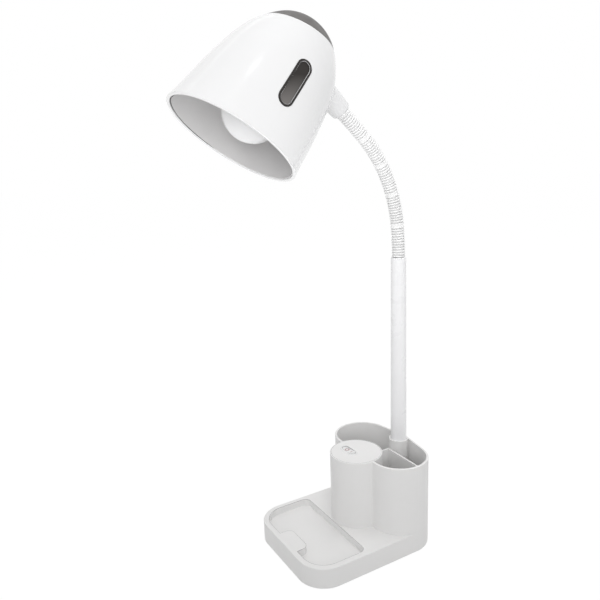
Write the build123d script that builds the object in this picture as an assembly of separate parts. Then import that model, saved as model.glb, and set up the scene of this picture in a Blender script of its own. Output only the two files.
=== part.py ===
"""Desk lamp on an organiser base: tray, two cups, pole, flexible neck and bell shade.

Millimetres.  +Z is up, +X is the user's right and +Y points away from the user.
The origin is the middle of the base's underside, on the surface the lamp stands on.
"""

from build123d import *
from math import atan2, cos, degrees, hypot, radians, sin, tan
import os

# ---------------------------------------------------------------- base, plan sizes
BASE_WIDTH = 121.5  # left edge to right edge
BASE_FRONT_Y = -78.0  # front edge of the plate
CORNER_R = 28.0  # front corners, seen from above
CUP_R = 30.5  # outside radius of each cup lobe
CUP_Y = 43.5  # centre line of the two cups
TOWER_R = 27.0  # outside radius of the switch tower
TOWER_Y = 13.0
BOSS_R = 10.3  # outside radius of the pole boss
POLE_Y = 69.0
CREASE_R = 3.5  # soft crease where tower and cups meet

# ---------------------------------------------------------------- base, heights
FOOT_PROUD = 0.8  # rubber feet below the shell
PLATE_TOP = 21.5
RIM_TOP = 93.5
WALL = 2.2  # side walls
DECK = 2.5  # horizontal walls
TOWER_LID = 2.2
EDGE_R = 1.0  # rounding of the plate's top edge
RIM_EDGE_R = 0.6  # rounding of the rims

# ---------------------------------------------------------------- tray
TRAY_MARGIN = 5.6  # plate edge to tray edge, front and sides
TRAY_REAR_Y = -15.3
TRAY_DEPTH = 7.3
TRAY_REAR_CORNER_R = 7.0
TAB_LEFT_X = -14.0  # raised tab that comes in from the front edge
TAB_RIGHT_X = 20.5
TAB_REACH = 13.2
TAB_CORNER_R = 7.0

# ---------------------------------------------------------------- cup divider
WEB_THICKNESS = 1.8
WEB_DROP = 9.0  # divider below the rim
WEB_Y = 55.5  # its cross wall

# ---------------------------------------------------------------- cover, screws, feet, ballast
COVER_THICKNESS = 2.5
COVER_GAP = 0.3
POST_R = 4.2
POST_HOLE_R = 1.3
SCREW_R = 1.25
SCREW_HEAD_R = 2.7
SCREW_HEAD_H = 1.5
SCREW_LENGTH = 11.0
SCREW_HOLE_R = 1.7
FOOT_R = 6.0
FOOT_THICKNESS = 2.0
FOOT_FIT = 0.1
BALLAST_THICKNESS = 6.5
BALLAST_GAP = 0.4
BALLAST_SIDE = 3.0  # ballast edge to the wall

# ---------------------------------------------------------------- switch
SWITCH_X = -5.0
SWITCH_Y = 7.5
ROCKER_LENGTH = 19.0
ROCKER_WIDTH = 7.4
ROCKER_TILT = 5.0  # either side of level
ROCKER_PROUD = 0.9
ROCKER_DISH = 1.0  # hollow of its top
ROCKER_DEPTH = 6.0
SWITCH_CLEAR = 0.4  # rocker to its frame
SWITCH_FRAME = 1.4  # width of the frame round the rocker
SWITCH_FLANGE_H = 0.8
SWITCH_BODY_DEPTH = 16.0
SWITCH_SEAT = 0.15
PIVOT_DROP = 1.6  # pivot below the tower's top
PIVOT_R = 0.8
PIVOT_FIT = 0.05
BLADE_SIZE = (4.8, 0.8, 8.0)
BLADE_SPACING = 8.0

# ---------------------------------------------------------------- terminal block, inlet, leads
BLOCK_SIZE = (18.0, 20.0, 11.0)
BLOCK_INSET = 26.75  # its middle to the base's left side
BLOCK_Y = 26.0
BLOCK_HOLE_R = 1.7
BLOCK_SCREW_R = 1.6
INLET_Y = 40.0
INLET_Z = 11.5
INLET_BORE_R = 3.2
INLET_NECK_R = 4.4
INLET_FLANGE_R = 6.2
INLET_FLANGE = 1.3
LEAD_R = 1.1
LEAD_OFFSET = 1.4

# ---------------------------------------------------------------- pole
POLE_FOOT_R = 8.4
POLE_TOP_R = 7.6
POLE_BORE_R = 6.0
POLE_TOP = 290.4
POLE_FIT = 0.15
BOSS_FLOOR = 5.0  # under the pole, above the deck's underside
NIPPLE_R = 4.9
NIPPLE_BORE_R = 3.2
NIPPLE_FIT = 0.1
NUT_FLATS = 13.6
NUT_HEIGHT = 4.0
ANCHOR_LENGTH = 20.0

# ---------------------------------------------------------------- flexible neck
NECK_LENGTH = 159.55
NECK_TURNS = (6.03, 12.21, 13.3, 13.69, 3.37)  # bend of each length, degrees
NECK_R = 6.75
GROOVE_DEPTH = 0.7
RIBS_PER_LENGTH = 12
RIB_SHARE = 0.62  # rib width over rib pitch
NECK_BORE_R = 3.6
BALL_R = 5.2
SOCKET_CLEAR = 0.3
JOINT_GAP = 1.8
NECK_PLUG_LENGTH = 12.0
NECK_PLUG_FIT = 0.1
NECK_REST_GAP = 0.4

# ---------------------------------------------------------------- shade, along its own axis from the mouth
SHADE_PROFILE = (
    (61.1, -6.0),
    (60.4, 0.0),
    (58.0, 19.0),
    (55.9, 38.0),
    (53.0, 57.0),
    (49.0, 76.0),
    (43.9, 90.4),
    (36.9, 102.4),
    (29.6, 112.0),
    (20.0, 119.4),
)
SHADE_LENGTH = 123.6
SHADE_WALL = 1.6
MOUTH_HEIGHT = 0.8  # where the mouth's plane crosses the axis
MOUTH_RAKE = 5.0  # tilt of the mouth, higher at the collar
SEAM_HEIGHT = 106.8
SEAM_RAKE = 12.5  # tilt of the cap's seam, higher at the collar
SEAM_GAP = 0.3
SPIGOT_LENGTH = 6.0
SPIGOT_WALL = 1.2
LIP_R = 0.6
LIP_WIDTH = 2.8  # white rim round the mouth
LIP_HEIGHT = 1.6
LINER_GAP = 1.3
LINER_WALL = 0.8
LINER_RECESS = 1.4
LINER_TURN = 64.0  # where the liner turns in towards the lampholder

# ---------------------------------------------------------------- side vents
VENT_HEIGHT = 51.7
VENT_SHIFT = -2.5  # from the shade's middle plane, towards the front
VENT_LENGTH = 43.5
VENT_WIDTH = 13.6
VENT_FRAME = 1.7
VENT_PROUD = 0.3
VENT_PANEL_SINK = 0.7
VENT_BACK = 2.3
VENT_FIT = 0.15

# ---------------------------------------------------------------- collar and its fixing
COLLAR_HEIGHT = 91.3  # on the shade's axis
COLLAR_REACH = 67.0  # shade axis to the last neck joint
COLLAR_ROOT_R = 11.3
COLLAR_END_R = 9.2
COLLAR_EDGE_R = 2.0
COLLAR_BORE_R = 5.0
COLLAR_NIPPLE_END = 58.0
TAB_SEAT = 32.0  # bracket tab, from the shade's axis
TAB_THICKNESS = 2.0
TAB_R = 11.0
SADDLE_R = 9.0
CHEEK_X = 9.0
CHEEK_THICKNESS = 2.0
BAND_HEIGHT = 11.0
BAND_WALL = 2.0

# ---------------------------------------------------------------- lampholder and bulb
HOLDER_FRONT = 74.0
HOLDER_SHOULDER = 80.2
HOLDER_BACK = 108.0
HOLDER_THREAD_R = 19.2
HOLDER_R = 21.0
HOLDER_BORE_R = 13.8
RING_R = 24.5
RING_HEIGHT = 4.0
BULB_CENTRE = 32.3
BULB_R = 26.5
BULB_GLASS = 1.0
BULB_SPLIT = 46.3
BULB_NECK = 69.0
BULB_NECK_R = 14.6
CAP_R = 13.1
CAP_TURNS = 5
CAP_PITCH = 3.6
CAP_THREAD_DEPTH = 0.7
CAP_END = 95.0
TIP_LENGTH = 4.0
CONTACT_THICKNESS = 0.6

# ---------------------------------------------------------------- values that follow
HALF_WIDTH = BASE_WIDTH / 2
CUP_X = HALF_WIDTH - CUP_R
DECK_UNDER = PLATE_TOP - DECK
TRAY_FLOOR = PLATE_TOP - TRAY_DEPTH
TRAY_FRONT_Y = BASE_FRONT_Y + TRAY_MARGIN
BLOCK_X = BLOCK_INSET - HALF_WIDTH
COVER_TOP = FOOT_PROUD + COVER_THICKNESS
BOSS_SEAT = DECK_UNDER + BOSS_FLOOR
NECK_STEP = NECK_LENGTH / len(NECK_TURNS)
X_AXIS = (1, 0, 0)


def disc(x, y, r):
    """Flat disc on the ground plane."""
    return Pos(x, y, 0) * Circle(r)


def between(sketch, low, high):
    """Prism of a ground-plane sketch from height low to height high."""
    return extrude(Pos(0, 0, low) * sketch, high - low)


def tube(r_out, r_in, low, high):
    """Straight tube on the Z axis."""
    return Pos(0, 0, low) * Cylinder(r_out, high - low, align=UP) - Pos(0, 0, low) * Cylinder(
        r_in, high - low, align=UP
    )


UP = (Align.CENTER, Align.CENTER, Align.MIN)


def hull_of(circles):
    """Convex outline round circles given as (x, y, radius)."""
    edges = [Pos(x, y, 0) * Edge.make_circle(r) for x, y, r in circles]
    return Sketch() + make_hull(edges)


def plate_plan(inset=0.0):
    """Outline of the whole base, moved in by inset."""
    cx = HALF_WIDTH - CORNER_R
    cy = BASE_FRONT_Y + CORNER_R
    return hull_of(
        [
            (-cx, cy, CORNER_R - inset),
            (cx, cy, CORNER_R - inset),
            (-CUP_X, CUP_Y, CUP_R - inset),
            (CUP_X, CUP_Y, CUP_R - inset),
            (0, POLE_Y, BOSS_R - inset),
        ]
    )


def cups_plan(inset=0.0):
    """Outline of the cups and the boss behind them, moved in by inset."""
    return hull_of(
        [(-CUP_X, CUP_Y, CUP_R - inset), (CUP_X, CUP_Y, CUP_R - inset), (0, POLE_Y, BOSS_R - inset)]
    )


def holder_plan():
    """Outline of tower and cups, with the soft creases between them."""
    plan = cups_plan() + disc(0, TOWER_Y, TOWER_R)
    creases = plan.vertices().filter_by(lambda v: abs(hypot(v.X, v.Y - TOWER_Y) - TOWER_R) < 0.01)
    return fillet(creases, min(CREASE_R, 0.8 * abs(CUP_X - TOWER_R)))


def tray_plan(grow=0.0):
    """Outline of the sunk tray, with the tab left standing."""
    half = HALF_WIDTH - TRAY_MARGIN
    depth = TRAY_REAR_Y - TRAY_FRONT_Y
    plan = Pos(0, TRAY_FRONT_Y + depth / 2, 0) * Rectangle(2 * half, depth)
    front = plan.vertices().filter_by(lambda v: v.Y < TRAY_FRONT_Y + 1)
    plan = fillet(front, CORNER_R - TRAY_MARGIN)
    rear = plan.vertices().filter_by(lambda v: v.Y > TRAY_REAR_Y - 1)
    plan = fillet(rear, TRAY_REAR_CORNER_R)
    width = TAB_RIGHT_X - TAB_LEFT_X - 2 * grow
    reach = TAB_REACH - grow
    tab = Pos(TAB_LEFT_X + grow + width / 2, TRAY_FRONT_Y + reach / 2 - 5, 0) * Rectangle(width, reach + 10)
    tab = fillet(tab.vertices().filter_by(lambda v: v.Y > TRAY_FRONT_Y + 1), TAB_CORNER_R)
    if grow:
        plan = offset(plan, grow)
    return plan - tab


def post_points():
    """Where the cover's screws go."""
    side = HALF_WIDTH - WALL - POST_R
    front_y = TRAY_REAR_Y + WALL + POST_R + 1
    back_y = CUP_Y + 6
    nose_x = HALF_WIDTH / 3
    nose_y = BASE_FRONT_Y + TRAY_MARGIN + TAB_REACH
    return [(-side, front_y), (side, front_y), (-side, back_y), (side, back_y), (-nose_x, nose_y), (nose_x, nose_y)]


def foot_points():
    """Centres of the four rubber feet."""
    cx = HALF_WIDTH - CORNER_R
    return [
        (-cx - 6, BASE_FRONT_Y + CORNER_R - 6),
        (cx + 6, BASE_FRONT_Y + CORNER_R - 6),
        (-CUP_X - 4, CUP_Y + 14),
        (CUP_X + 4, CUP_Y + 14),
    ]


def pill(length, width):
    """Slot shape with round ends, long along X."""
    return SlotOverall(length, width)


def base_shell():
    """Plate, tray, cups, switch tower and boss in one moulding."""
    plate = between(plate_plan(), FOOT_PROUD, PLATE_TOP)
    plate = fillet(plate.edges().group_by(Axis.Z)[-1], EDGE_R)
    shell = plate + between(holder_plan(), PLATE_TOP - 8, RIM_TOP)
    # under-side room below the deck
    room = between(plate_plan(WALL), FOOT_PROUD, DECK_UNDER)
    room -= between(tray_plan(WALL), TRAY_FLOOR - DECK, DECK_UNDER)
    # the tab is solid above the tray floor only at its skin
    shell -= room
    shell -= between(tray_plan(), TRAY_FLOOR, PLATE_TOP + 1)
    # cups
    cups = cups_plan(WALL) - disc(0, TOWER_Y, TOWER_R) - disc(0, POLE_Y, BOSS_R)
    shell -= between(cups, PLATE_TOP, RIM_TOP + 1)
    # tower room and the switch opening in its lid
    shell -= between(disc(0, TOWER_Y, TOWER_R - WALL), DECK_UNDER - 1, RIM_TOP - TOWER_LID)
    opening = pill(
        ROCKER_LENGTH + 2 * SWITCH_CLEAR + SWITCH_FRAME, ROCKER_WIDTH + 2 * SWITCH_CLEAR + SWITCH_FRAME
    )
    shell -= between(
        Pos(SWITCH_X, SWITCH_Y, 0) * offset(opening, SWITCH_SEAT), RIM_TOP - TOWER_LID - 1, RIM_TOP + 1
    )
    shell = fillet(
        shell.edges().filter_by(lambda e: e.bounding_box().min.Z > RIM_TOP - 0.01 and e.length > 60), RIM_EDGE_R
    )
    # divider between the cups
    web_top = RIM_TOP - WEB_DROP
    half = WEB_THICKNESS / 2
    cross = Pos(HALF_WIDTH / 2, WEB_Y, 0) * Rectangle(HALF_WIDTH, WEB_THICKNESS)
    run = Pos(0, (TOWER_Y + TOWER_R + WEB_Y) / 2, 0) * Rectangle(WEB_THICKNESS, WEB_Y - TOWER_Y - TOWER_R + 2)
    corner = disc(0, WEB_Y, half)
    web = (cross + run + corner) & (cups_plan(WALL / 2) - disc(0, TOWER_Y, TOWER_R - WALL / 2))
    shell += between(web, PLATE_TOP - DECK / 2, web_top)
    # pole boss
    shell -= Pos(0, POLE_Y, BOSS_SEAT) * Cylinder(POLE_FOOT_R + POLE_FIT, RIM_TOP, align=UP)
    shell += Pos(0, POLE_Y, DECK_UNDER) * (
        Cylinder(BOSS_R - 0.5, BOSS_FLOOR, align=UP) - Cylinder(NIPPLE_R + NIPPLE_FIT, BOSS_FLOOR, align=UP)
    )
    shell -= Pos(0, POLE_Y, DECK_UNDER) * Cylinder(NIPPLE_R + NIPPLE_FIT, BOSS_FLOOR, align=UP)
    # screw posts
    for x, y in post_points():
        top = TRAY_FLOOR - DECK / 2 if y < TRAY_REAR_Y else DECK_UNDER + DECK / 2
        post = Cylinder(POST_R, top - COVER_TOP - COVER_GAP, align=UP)
        hole = Cylinder(POST_HOLE_R, SCREW_LENGTH - COVER_THICKNESS, align=UP)
        place = Pos(x, y, COVER_TOP + COVER_GAP)
        depth = min(SCREW_LENGTH, top - COVER_TOP - 1)
        hole = Cylinder(POST_HOLE_R, depth, align=UP)
        shell = shell + place * post - place * hole
    # cord inlet in the left wall
    inlet = Pos(-HALF_WIDTH, INLET_Y, INLET_Z) * Rot(0, 90, 0) * Cylinder(INLET_NECK_R + FOOT_FIT, 4 * WALL)
    return shell - inlet


def bottom_cover():
    """Flat lid under the base, with recesses for feet and screws."""
    cover = between(plate_plan(WALL + COVER_GAP), FOOT_PROUD, COVER_TOP)
    for x, y in foot_points():
        recess = Cylinder(FOOT_R + FOOT_FIT, FOOT_THICKNESS - FOOT_PROUD, align=UP)
        cover -= Pos(x, y, FOOT_PROUD) * recess
    for x, y in post_points():
        cover -= Pos(x, y, 0) * Cylinder(SCREW_HOLE_R, COVER_TOP + 1, align=UP)
        cover -= Pos(x, y, 0) * Cylinder(SCREW_HEAD_R + FOOT_FIT, FOOT_PROUD + SCREW_HEAD_H, align=UP)
    return cover


def screw_at(x, y):
    """One cover screw, head down."""
    length = min(SCREW_LENGTH, TRAY_FLOOR - DECK / 2 - COVER_TOP if y < TRAY_REAR_Y else SCREW_LENGTH)
    head = Cylinder(SCREW_HEAD_R, SCREW_HEAD_H - FOOT_FIT, align=UP)
    head = fillet(head.edges().group_by(Axis.Z)[0], 0.5)
    slot_depth = 0.7
    cross = Box(3.2, 0.8, slot_depth, align=UP) + Box(0.8, 3.2, slot_depth, align=UP)
    shank = Pos(0, 0, 0.5) * Cylinder(SCREW_R, length - 1, align=UP)
    return Pos(x, y, FOOT_PROUD) * (head + shank - cross)


def cover_screws():
    """The six cover screws."""
    return [screw_at(x, y) for x, y in post_points()]


def rubber_feet():
    """Four round feet, seated in the cover."""
    foot = Cylinder(FOOT_R, FOOT_THICKNESS - FOOT_FIT, align=UP)
    foot = fillet(foot.edges().group_by(Axis.Z)[0], 0.4)
    return [Pos(x, y, 0) * foot for x, y in foot_points()]


def ballast_plate():
    """Steel plate under the tray that keeps the lamp upright."""
    half = HALF_WIDTH - WALL - BALLAST_SIDE
    front = BASE_FRONT_Y + WALL + BALLAST_SIDE
    depth = TRAY_REAR_Y - front
    plan = Pos(0, front + depth / 2, 0) * Rectangle(2 * half, depth)
    plan = fillet(plan.vertices().filter_by(lambda v: v.Y < front + 1), CORNER_R - WALL - BALLAST_SIDE)
    for x, y in post_points():
        plan -= disc(x, y, POST_R + BALLAST_GAP)
    low = COVER_TOP + 0.05
    top = min(low + BALLAST_THICKNESS, TRAY_FLOOR - DECK - BALLAST_GAP)
    plate = between(plan, low, top)
    return fillet(plate.edges().group_by(Axis.Z)[-1], 0.5)


def switch_place():
    """Frame of the switch: origin on the pivot, level."""
    return Pos(SWITCH_X, SWITCH_Y, RIM_TOP - PIVOT_DROP)


def switch_housing():
    """Frame and body that hold the rocker, clipped into the tower's lid."""
    hole = pill(ROCKER_LENGTH + 2 * SWITCH_CLEAR, ROCKER_WIDTH + 2 * SWITCH_CLEAR)
    body = offset(hole, SWITCH_FRAME / 2)
    flange = offset(hole, SWITCH_FRAME)
    top = PIVOT_DROP + SWITCH_FLANGE_H
    ring = between(flange, PIVOT_DROP + 0.02, top)
    ring = fillet(ring.edges().group_by(Axis.Z)[-1], 0.45)
    housing = ring + between(body, -SWITCH_BODY_DEPTH, PIVOT_DROP + 0.1)
    housing -= between(hole, -ROCKER_DEPTH - 1.5, top + 1)
    housing -= Rot(90, 0, 0) * Cylinder(PIVOT_R + PIVOT_FIT, 3 * ROCKER_WIDTH)
    for side in (-1, 1):
        blade = Pos(side * BLADE_SPACING / 2, 0, -SWITCH_BODY_DEPTH + 1)
        housing -= blade * Box(BLADE_SIZE[0] / 2 + 0.1, BLADE_SIZE[1] + 0.1, 6, align=UP)
        housing -= blade * Pos(0, 0, -2) * Box(BLADE_SIZE[0] / 2 + 0.1, BLADE_SIZE[1] + 0.1, 3, align=UP)
    return switch_place() * housing


def switch_rocker():
    """Rocker, pressed down on its off side."""
    body = between(pill(ROCKER_LENGTH, ROCKER_WIDTH), -ROCKER_DEPTH, PIVOT_DROP + ROCKER_PROUD)
    for side in (-1, 1):
        relief = Pos(side * ROCKER_LENGTH / 2, 0, -ROCKER_DEPTH - 1)
        body -= relief * Rot(0, side * 32, 0) * Box(5, 2 * ROCKER_WIDTH, ROCKER_DEPTH + 1, align=UP)
    dish_r = (ROCKER_LENGTH**2 / 4 + ROCKER_DISH**2) / (2 * ROCKER_DISH)
    middle = PIVOT_DROP + ROCKER_PROUD - ROCKER_DISH + dish_r
    dish = Pos(0, 0, middle) * Rot(90, 0, 0) * Cylinder(dish_r, 3 * ROCKER_WIDTH)
    body -= dish
    body -= Rot(90, 0, 0) * Cylinder(PIVOT_R + PIVOT_FIT, 3 * ROCKER_WIDTH)
    return switch_place() * Rot(0, -ROCKER_TILT, 0) * body


def switch_pin():
    """Pivot pin of the rocker."""
    length = ROCKER_WIDTH + 2 * SWITCH_CLEAR + SWITCH_FRAME - 0.1
    return switch_place() * Rot(90, 0, 0) * Cylinder(PIVOT_R, length)


def switch_blades():
    """The two contact blades under the switch."""
    width, thick, length = BLADE_SIZE
    blade = Box(width / 2, thick, length, align=(Align.CENTER, Align.CENTER, Align.MAX))
    place = switch_place() * Pos(0, 0, -SWITCH_BODY_DEPTH + 5)
    return [place * Pos(side * BLADE_SPACING / 2, 0, 0) * blade for side in (-1, 1)]


def block_place():
    return Pos(BLOCK_X, BLOCK_Y, COVER_TOP + 0.05)


def terminal_block():
    """Two-way terminal block on the cover."""
    w, d, h = BLOCK_SIZE
    block = Box(w, d, h, align=UP)
    block = fillet(block.edges().group_by(Axis.Z)[-1], 1.0)
    for side in (-1, 1):
        y = side * d / 4
        block -= Pos(0, y, h / 2) * Rot(0, 90, 0) * Cylinder(BLOCK_HOLE_R, 2 * w)
        block -= Pos(0, y, h / 2) * Cylinder(BLOCK_SCREW_R + 0.1, h, align=UP)
    return block_place() * block


def terminal_screws():
    """Clamp screws of the terminal block."""
    w, d, h = BLOCK_SIZE
    screw = Cylinder(BLOCK_SCREW_R, 3.2, align=UP) - Pos(0, 0, 2.6) * Box(4, 0.6, 1, align=UP)
    return [block_place() * Pos(0, side * d / 4, h / 2 + LEAD_R + 0.1) * screw for side in (-1, 1)]


def cord_inlet():
    """Grommet that lines the hole for the mains cord."""
    neck = WALL + 0.1
    grommet = Cylinder(INLET_NECK_R, neck, align=UP)
    outer = Pos(0, 0, neck) * Cylinder(INLET_FLANGE_R, INLET_FLANGE, align=UP)
    outer = fillet(outer.edges().group_by(Axis.Z)[-1], 0.5)
    inner = Pos(0, 0, -INLET_FLANGE) * Cylinder(INLET_FLANGE_R - 0.8, INLET_FLANGE, align=UP)
    grommet = grommet + outer + inner
    grommet -= Pos(0, 0, -5) * Cylinder(INLET_BORE_R, 12, align=UP)
    return Pos(-HALF_WIDTH + WALL + 0.05, INLET_Y, INLET_Z) * Rot(0, -90, 0) * grommet


def lead(points, radii):
    """One insulated lead along straight runs joined by arcs."""
    path = FilletPolyline(*points, radius=radii)
    start = Plane(origin=path @ 0, z_dir=path % 0)
    wire = sweep(start * Circle(LEAD_R), path)
    print("lead", round(path.length, 1), "mm, volume ratio", round(wire.volume / (path.length * 3.14159 * LEAD_R**2), 3))
    return wire


def pole_leads():
    """Two leads from the terminal block, up through the pole."""
    x0 = BLOCK_X + BLOCK_SIZE[0] / 2
    z0 = COVER_TOP + 0.05 + BLOCK_SIZE[2] / 2
    leads = []
    for side in (-1, 1):
        y0 = BLOCK_Y + side * BLOCK_SIZE[1] / 4
        x1 = side * LEAD_OFFSET
        bottom = COVER_TOP + LEAD_R + 2.2
        points = [
            (x0 - 5, y0, z0),
            (x0 + 9 + side * -2, y0, z0),
            (x1, POLE_Y, bottom),
            (x1, POLE_Y, POLE_TOP - NECK_PLUG_LENGTH - 4),
        ]
        leads.append(lead(points, 6))
    return leads


def switch_leads():
    """Two leads from the switch blades down to the terminal block."""
    width, thick, length = BLADE_SIZE
    z_top = RIM_TOP - PIVOT_DROP - SWITCH_BODY_DEPTH + 5 - length
    z0 = COVER_TOP + 0.05 + BLOCK_SIZE[2] / 2
    leads = []
    for side in (-1, 1):
        x = SWITCH_X + side * BLADE_SPACING / 2
        y1 = BLOCK_Y + side * BLOCK_SIZE[1] / 4
        xb = BLOCK_X - BLOCK_SIZE[0] / 2 - 9
        z1 = DECK_UNDER - 3 - LEAD_R + (0 if side > 0 else 0)
        points = [
            (x, SWITCH_Y, z_top - 0.05),
            (x, SWITCH_Y, z1 + 24),
            (x, SWITCH_Y - 4, z1),
            (xb + (3 if side < 0 else 0), SWITCH_Y - 4 - side * 2, z1),
            (xb + (3 if side < 0 else 0), y1, z0),
            (BLOCK_X - BLOCK_SIZE[0] / 2 + 5, y1, z0),
        ]
        leads.append(lead(points, 3))
    return leads


def pole_radius(z):
    """Outside radius of the tapered pole at height z."""
    share = max(0.0, (z - RIM_TOP) / (POLE_TOP - RIM_TOP))
    return POLE_FOOT_R + (POLE_TOP_R - POLE_FOOT_R) * share


def pole():
    """Tapered tube that carries the neck."""
    foot = BOSS_SEAT + 0.05
    profile = Polyline(
        (POLE_BORE_R, foot),
        (POLE_FOOT_R, foot),
        (POLE_FOOT_R, RIM_TOP),
        (POLE_TOP_R, POLE_TOP - 0.6),
        (POLE_TOP_R - 0.6, POLE_TOP),
        (POLE_BORE_R, POLE_TOP),
        close=True,
    )
    return Pos(0, POLE_Y, 0) * revolve(Plane.XZ * make_face(profile), Axis.Z)


def pole_anchor():
    """Plug in the pole's foot with a threaded tail through the boss floor."""
    seat = BOSS_SEAT + 0.05
    tail = NUT_HEIGHT + BOSS_FLOOR + 2.0
    plug = Pos(0, 0, seat) * Cylinder(POLE_BORE_R - 0.05, ANCHOR_LENGTH, align=UP)
    thread = Pos(0, 0, seat - tail) * Cylinder(NIPPLE_R, tail, align=UP)
    bore = Pos(0, 0, seat - tail) * Cylinder(NIPPLE_BORE_R, tail + ANCHOR_LENGTH, align=UP)
    return Pos(0, POLE_Y, 0) * (plug + thread - bore)


def hex_nut():
    """Plain hexagon nut for the nipple thread, on the ground plane."""
    plan = RegularPolygon(NUT_FLATS / 2, 6, major_radius=False) - Circle(NIPPLE_R + NIPPLE_FIT / 2)
    return extrude(plan, NUT_HEIGHT)


def pole_nut():
    """Nut that pulls the pole down into the boss."""
    return Pos(0, POLE_Y, DECK_UNDER - NUT_HEIGHT - 0.05) * hex_nut()


def neck_frame(distance):
    """Point and heading of the neck's centre line at a distance from its foot."""
    y, z, heading = POLE_Y, POLE_TOP + NECK_REST_GAP, 0.0
    left = distance
    for turn in NECK_TURNS:
        run = min(left, NECK_STEP)
        radius = NECK_STEP / radians(turn)
        new = heading + run / NECK_STEP * radians(turn)
        y -= radius * (cos(heading) - cos(new))
        z += radius * (sin(new) - sin(heading))
        heading = new
        left -= run
        if left <= 1e-9:
            break
    return y, z, heading


def neck_plane(distance):
    """Section plane of the neck, its X axis kept level."""
    y, z, heading = neck_frame(distance)
    return Plane(origin=(0, y, z), x_dir=X_AXIS, z_dir=(0, -sin(heading), cos(heading)))


def neck_bore(start, end, radius, tail=0.0):
    """Round bore that follows the neck between two distances, with a straight tail below the first."""
    steps = 6
    rings = [neck_plane(start + (end - start) * k / steps) * Circle(radius) for k in range(steps + 1)]
    if tail:
        rings.insert(0, Location(neck_plane(start)) * Pos(0, 0, -tail) * Circle(radius))
    return loft(rings, ruled=True)


def neck_length(index):
    """One length of the ribbed hose: ribs, bore, ball at its foot and socket at its end."""
    first = index == 0
    low = NECK_STEP * index + (0.0 if first else JOINT_GAP / 2)
    high = NECK_STEP * (index + 1) - JOINT_GAP / 2
    pitch = (high - low) / (RIBS_PER_LENGTH - 1 + RIB_SHARE)
    width = pitch * RIB_SHARE
    groove_r = NECK_R - GROOVE_DEPTH
    shoulder = 0.22 * width
    rings = []
    for k in range(RIBS_PER_LENGTH):
        a = low + k * pitch
        b = a + width
        for where, r in ((a, groove_r), (a + shoulder, NECK_R), (b - shoulder, NECK_R), (b, groove_r)):
            rings.append(neck_plane(where) * Circle(r))
    hose = loft(rings, ruled=True)
    end_plane = neck_plane(NECK_STEP * (index + 1))
    socket_depth = BALL_R + SOCKET_CLEAR + 0.2
    socket = Location(end_plane) * Pos(0, 0, -socket_depth) * Cylinder(
        BALL_R + SOCKET_CLEAR, socket_depth + 1, align=UP
    )
    if first:
        plug_r = POLE_BORE_R - NECK_PLUG_FIT
        length = NECK_PLUG_LENGTH + NECK_REST_GAP
        hose += Pos(0, POLE_Y, POLE_TOP + NECK_REST_GAP - length) * Cylinder(plug_r, length + 1.5, align=UP)
        bore_from, tail = low, length + 1
    else:
        hose += Location(neck_plane(NECK_STEP * index)) * Sphere(BALL_R)
        start = Location(neck_plane(NECK_STEP * index))
        hose -= start * Pos(0, 0, -BALL_R - 1) * Cylinder(NECK_BORE_R - 1, BALL_R + 4, align=UP)
        bore_from, tail = low + 1.5, 0.0
    hose -= neck_bore(bore_from, high - socket_depth + 1, NECK_BORE_R, tail)
    return hose - socket


def head_location():
    """Places the head: origin in the mouth, Z along the shade's axis, Y towards the collar."""
    y, z, heading = neck_frame(NECK_LENGTH)
    axis = (0, cos(heading), sin(heading))
    out = (0, sin(heading), -cos(heading))
    origin = (
        0,
        y - axis[1] * COLLAR_HEIGHT - out[1] * COLLAR_REACH,
        z - axis[2] * COLLAR_HEIGHT - out[2] * COLLAR_REACH,
    )
    return Location(Plane(origin=origin, x_dir=X_AXIS, z_dir=axis))


def profile_points(inset):
    """Points of the shade's profile, moved in by inset along its normals."""
    pts = list(SHADE_PROFILE) + [(0.0, SHADE_LENGTH)]
    moved = []
    for k, (r, s) in enumerate(pts[:-1]):
        r0, s0 = pts[max(k - 1, 0)]
        r1, s1 = pts[k + 1]
        size = hypot(r1 - r0, s1 - s0)
        moved.append((r - inset * (s1 - s0) / size, s + inset * (r1 - r0) / size))
    return moved + [(0.0, SHADE_LENGTH - inset)]


def bell(inset):
    """Solid of revolution inside the shade's outer surface, moved in by inset."""
    pts = profile_points(inset)
    curve = Spline(*pts, tangents=[(-0.06, 1.0), (-1.0, 0.0)])
    low = pts[0][1]
    face = make_face([curve, Line((0, SHADE_LENGTH - inset), (0, low)), Line((0, low), pts[0])])
    return revolve(Plane.XZ * face, Axis.Z)


def above(height, rake):
    """Everything above a raked plane that crosses the shade's axis at height."""
    size = 4 * SHADE_LENGTH
    return Pos(0, 0, height) * Rot(rake, 0, 0) * Box(size, size, size, align=UP)


def below(height, rake):
    """Everything below a raked plane that crosses the shade's axis at height."""
    size = 4 * SHADE_LENGTH
    return Pos(0, 0, height) * Rot(rake, 0, 0) * Box(size, size, size, align=(Align.CENTER, Align.CENTER, Align.MAX))


def vent_pill(grow, low_x=30.0, high_x=70.0):
    """Prism of the side vent's outline, both sides, grown by grow."""
    plan = Rot(0, 0, 0) * SlotOverall(VENT_LENGTH + 2 * grow, VENT_WIDTH + 2 * grow)
    prisms = []
    for side in (-1, 1):
        plane = Plane(origin=(side * low_x, VENT_SHIFT, VENT_HEIGHT), x_dir=(0, 0, 1), z_dir=(side, 0, 0))
        prisms.append(extrude(plane * plan, high_x - low_x))
    return prisms


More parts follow.
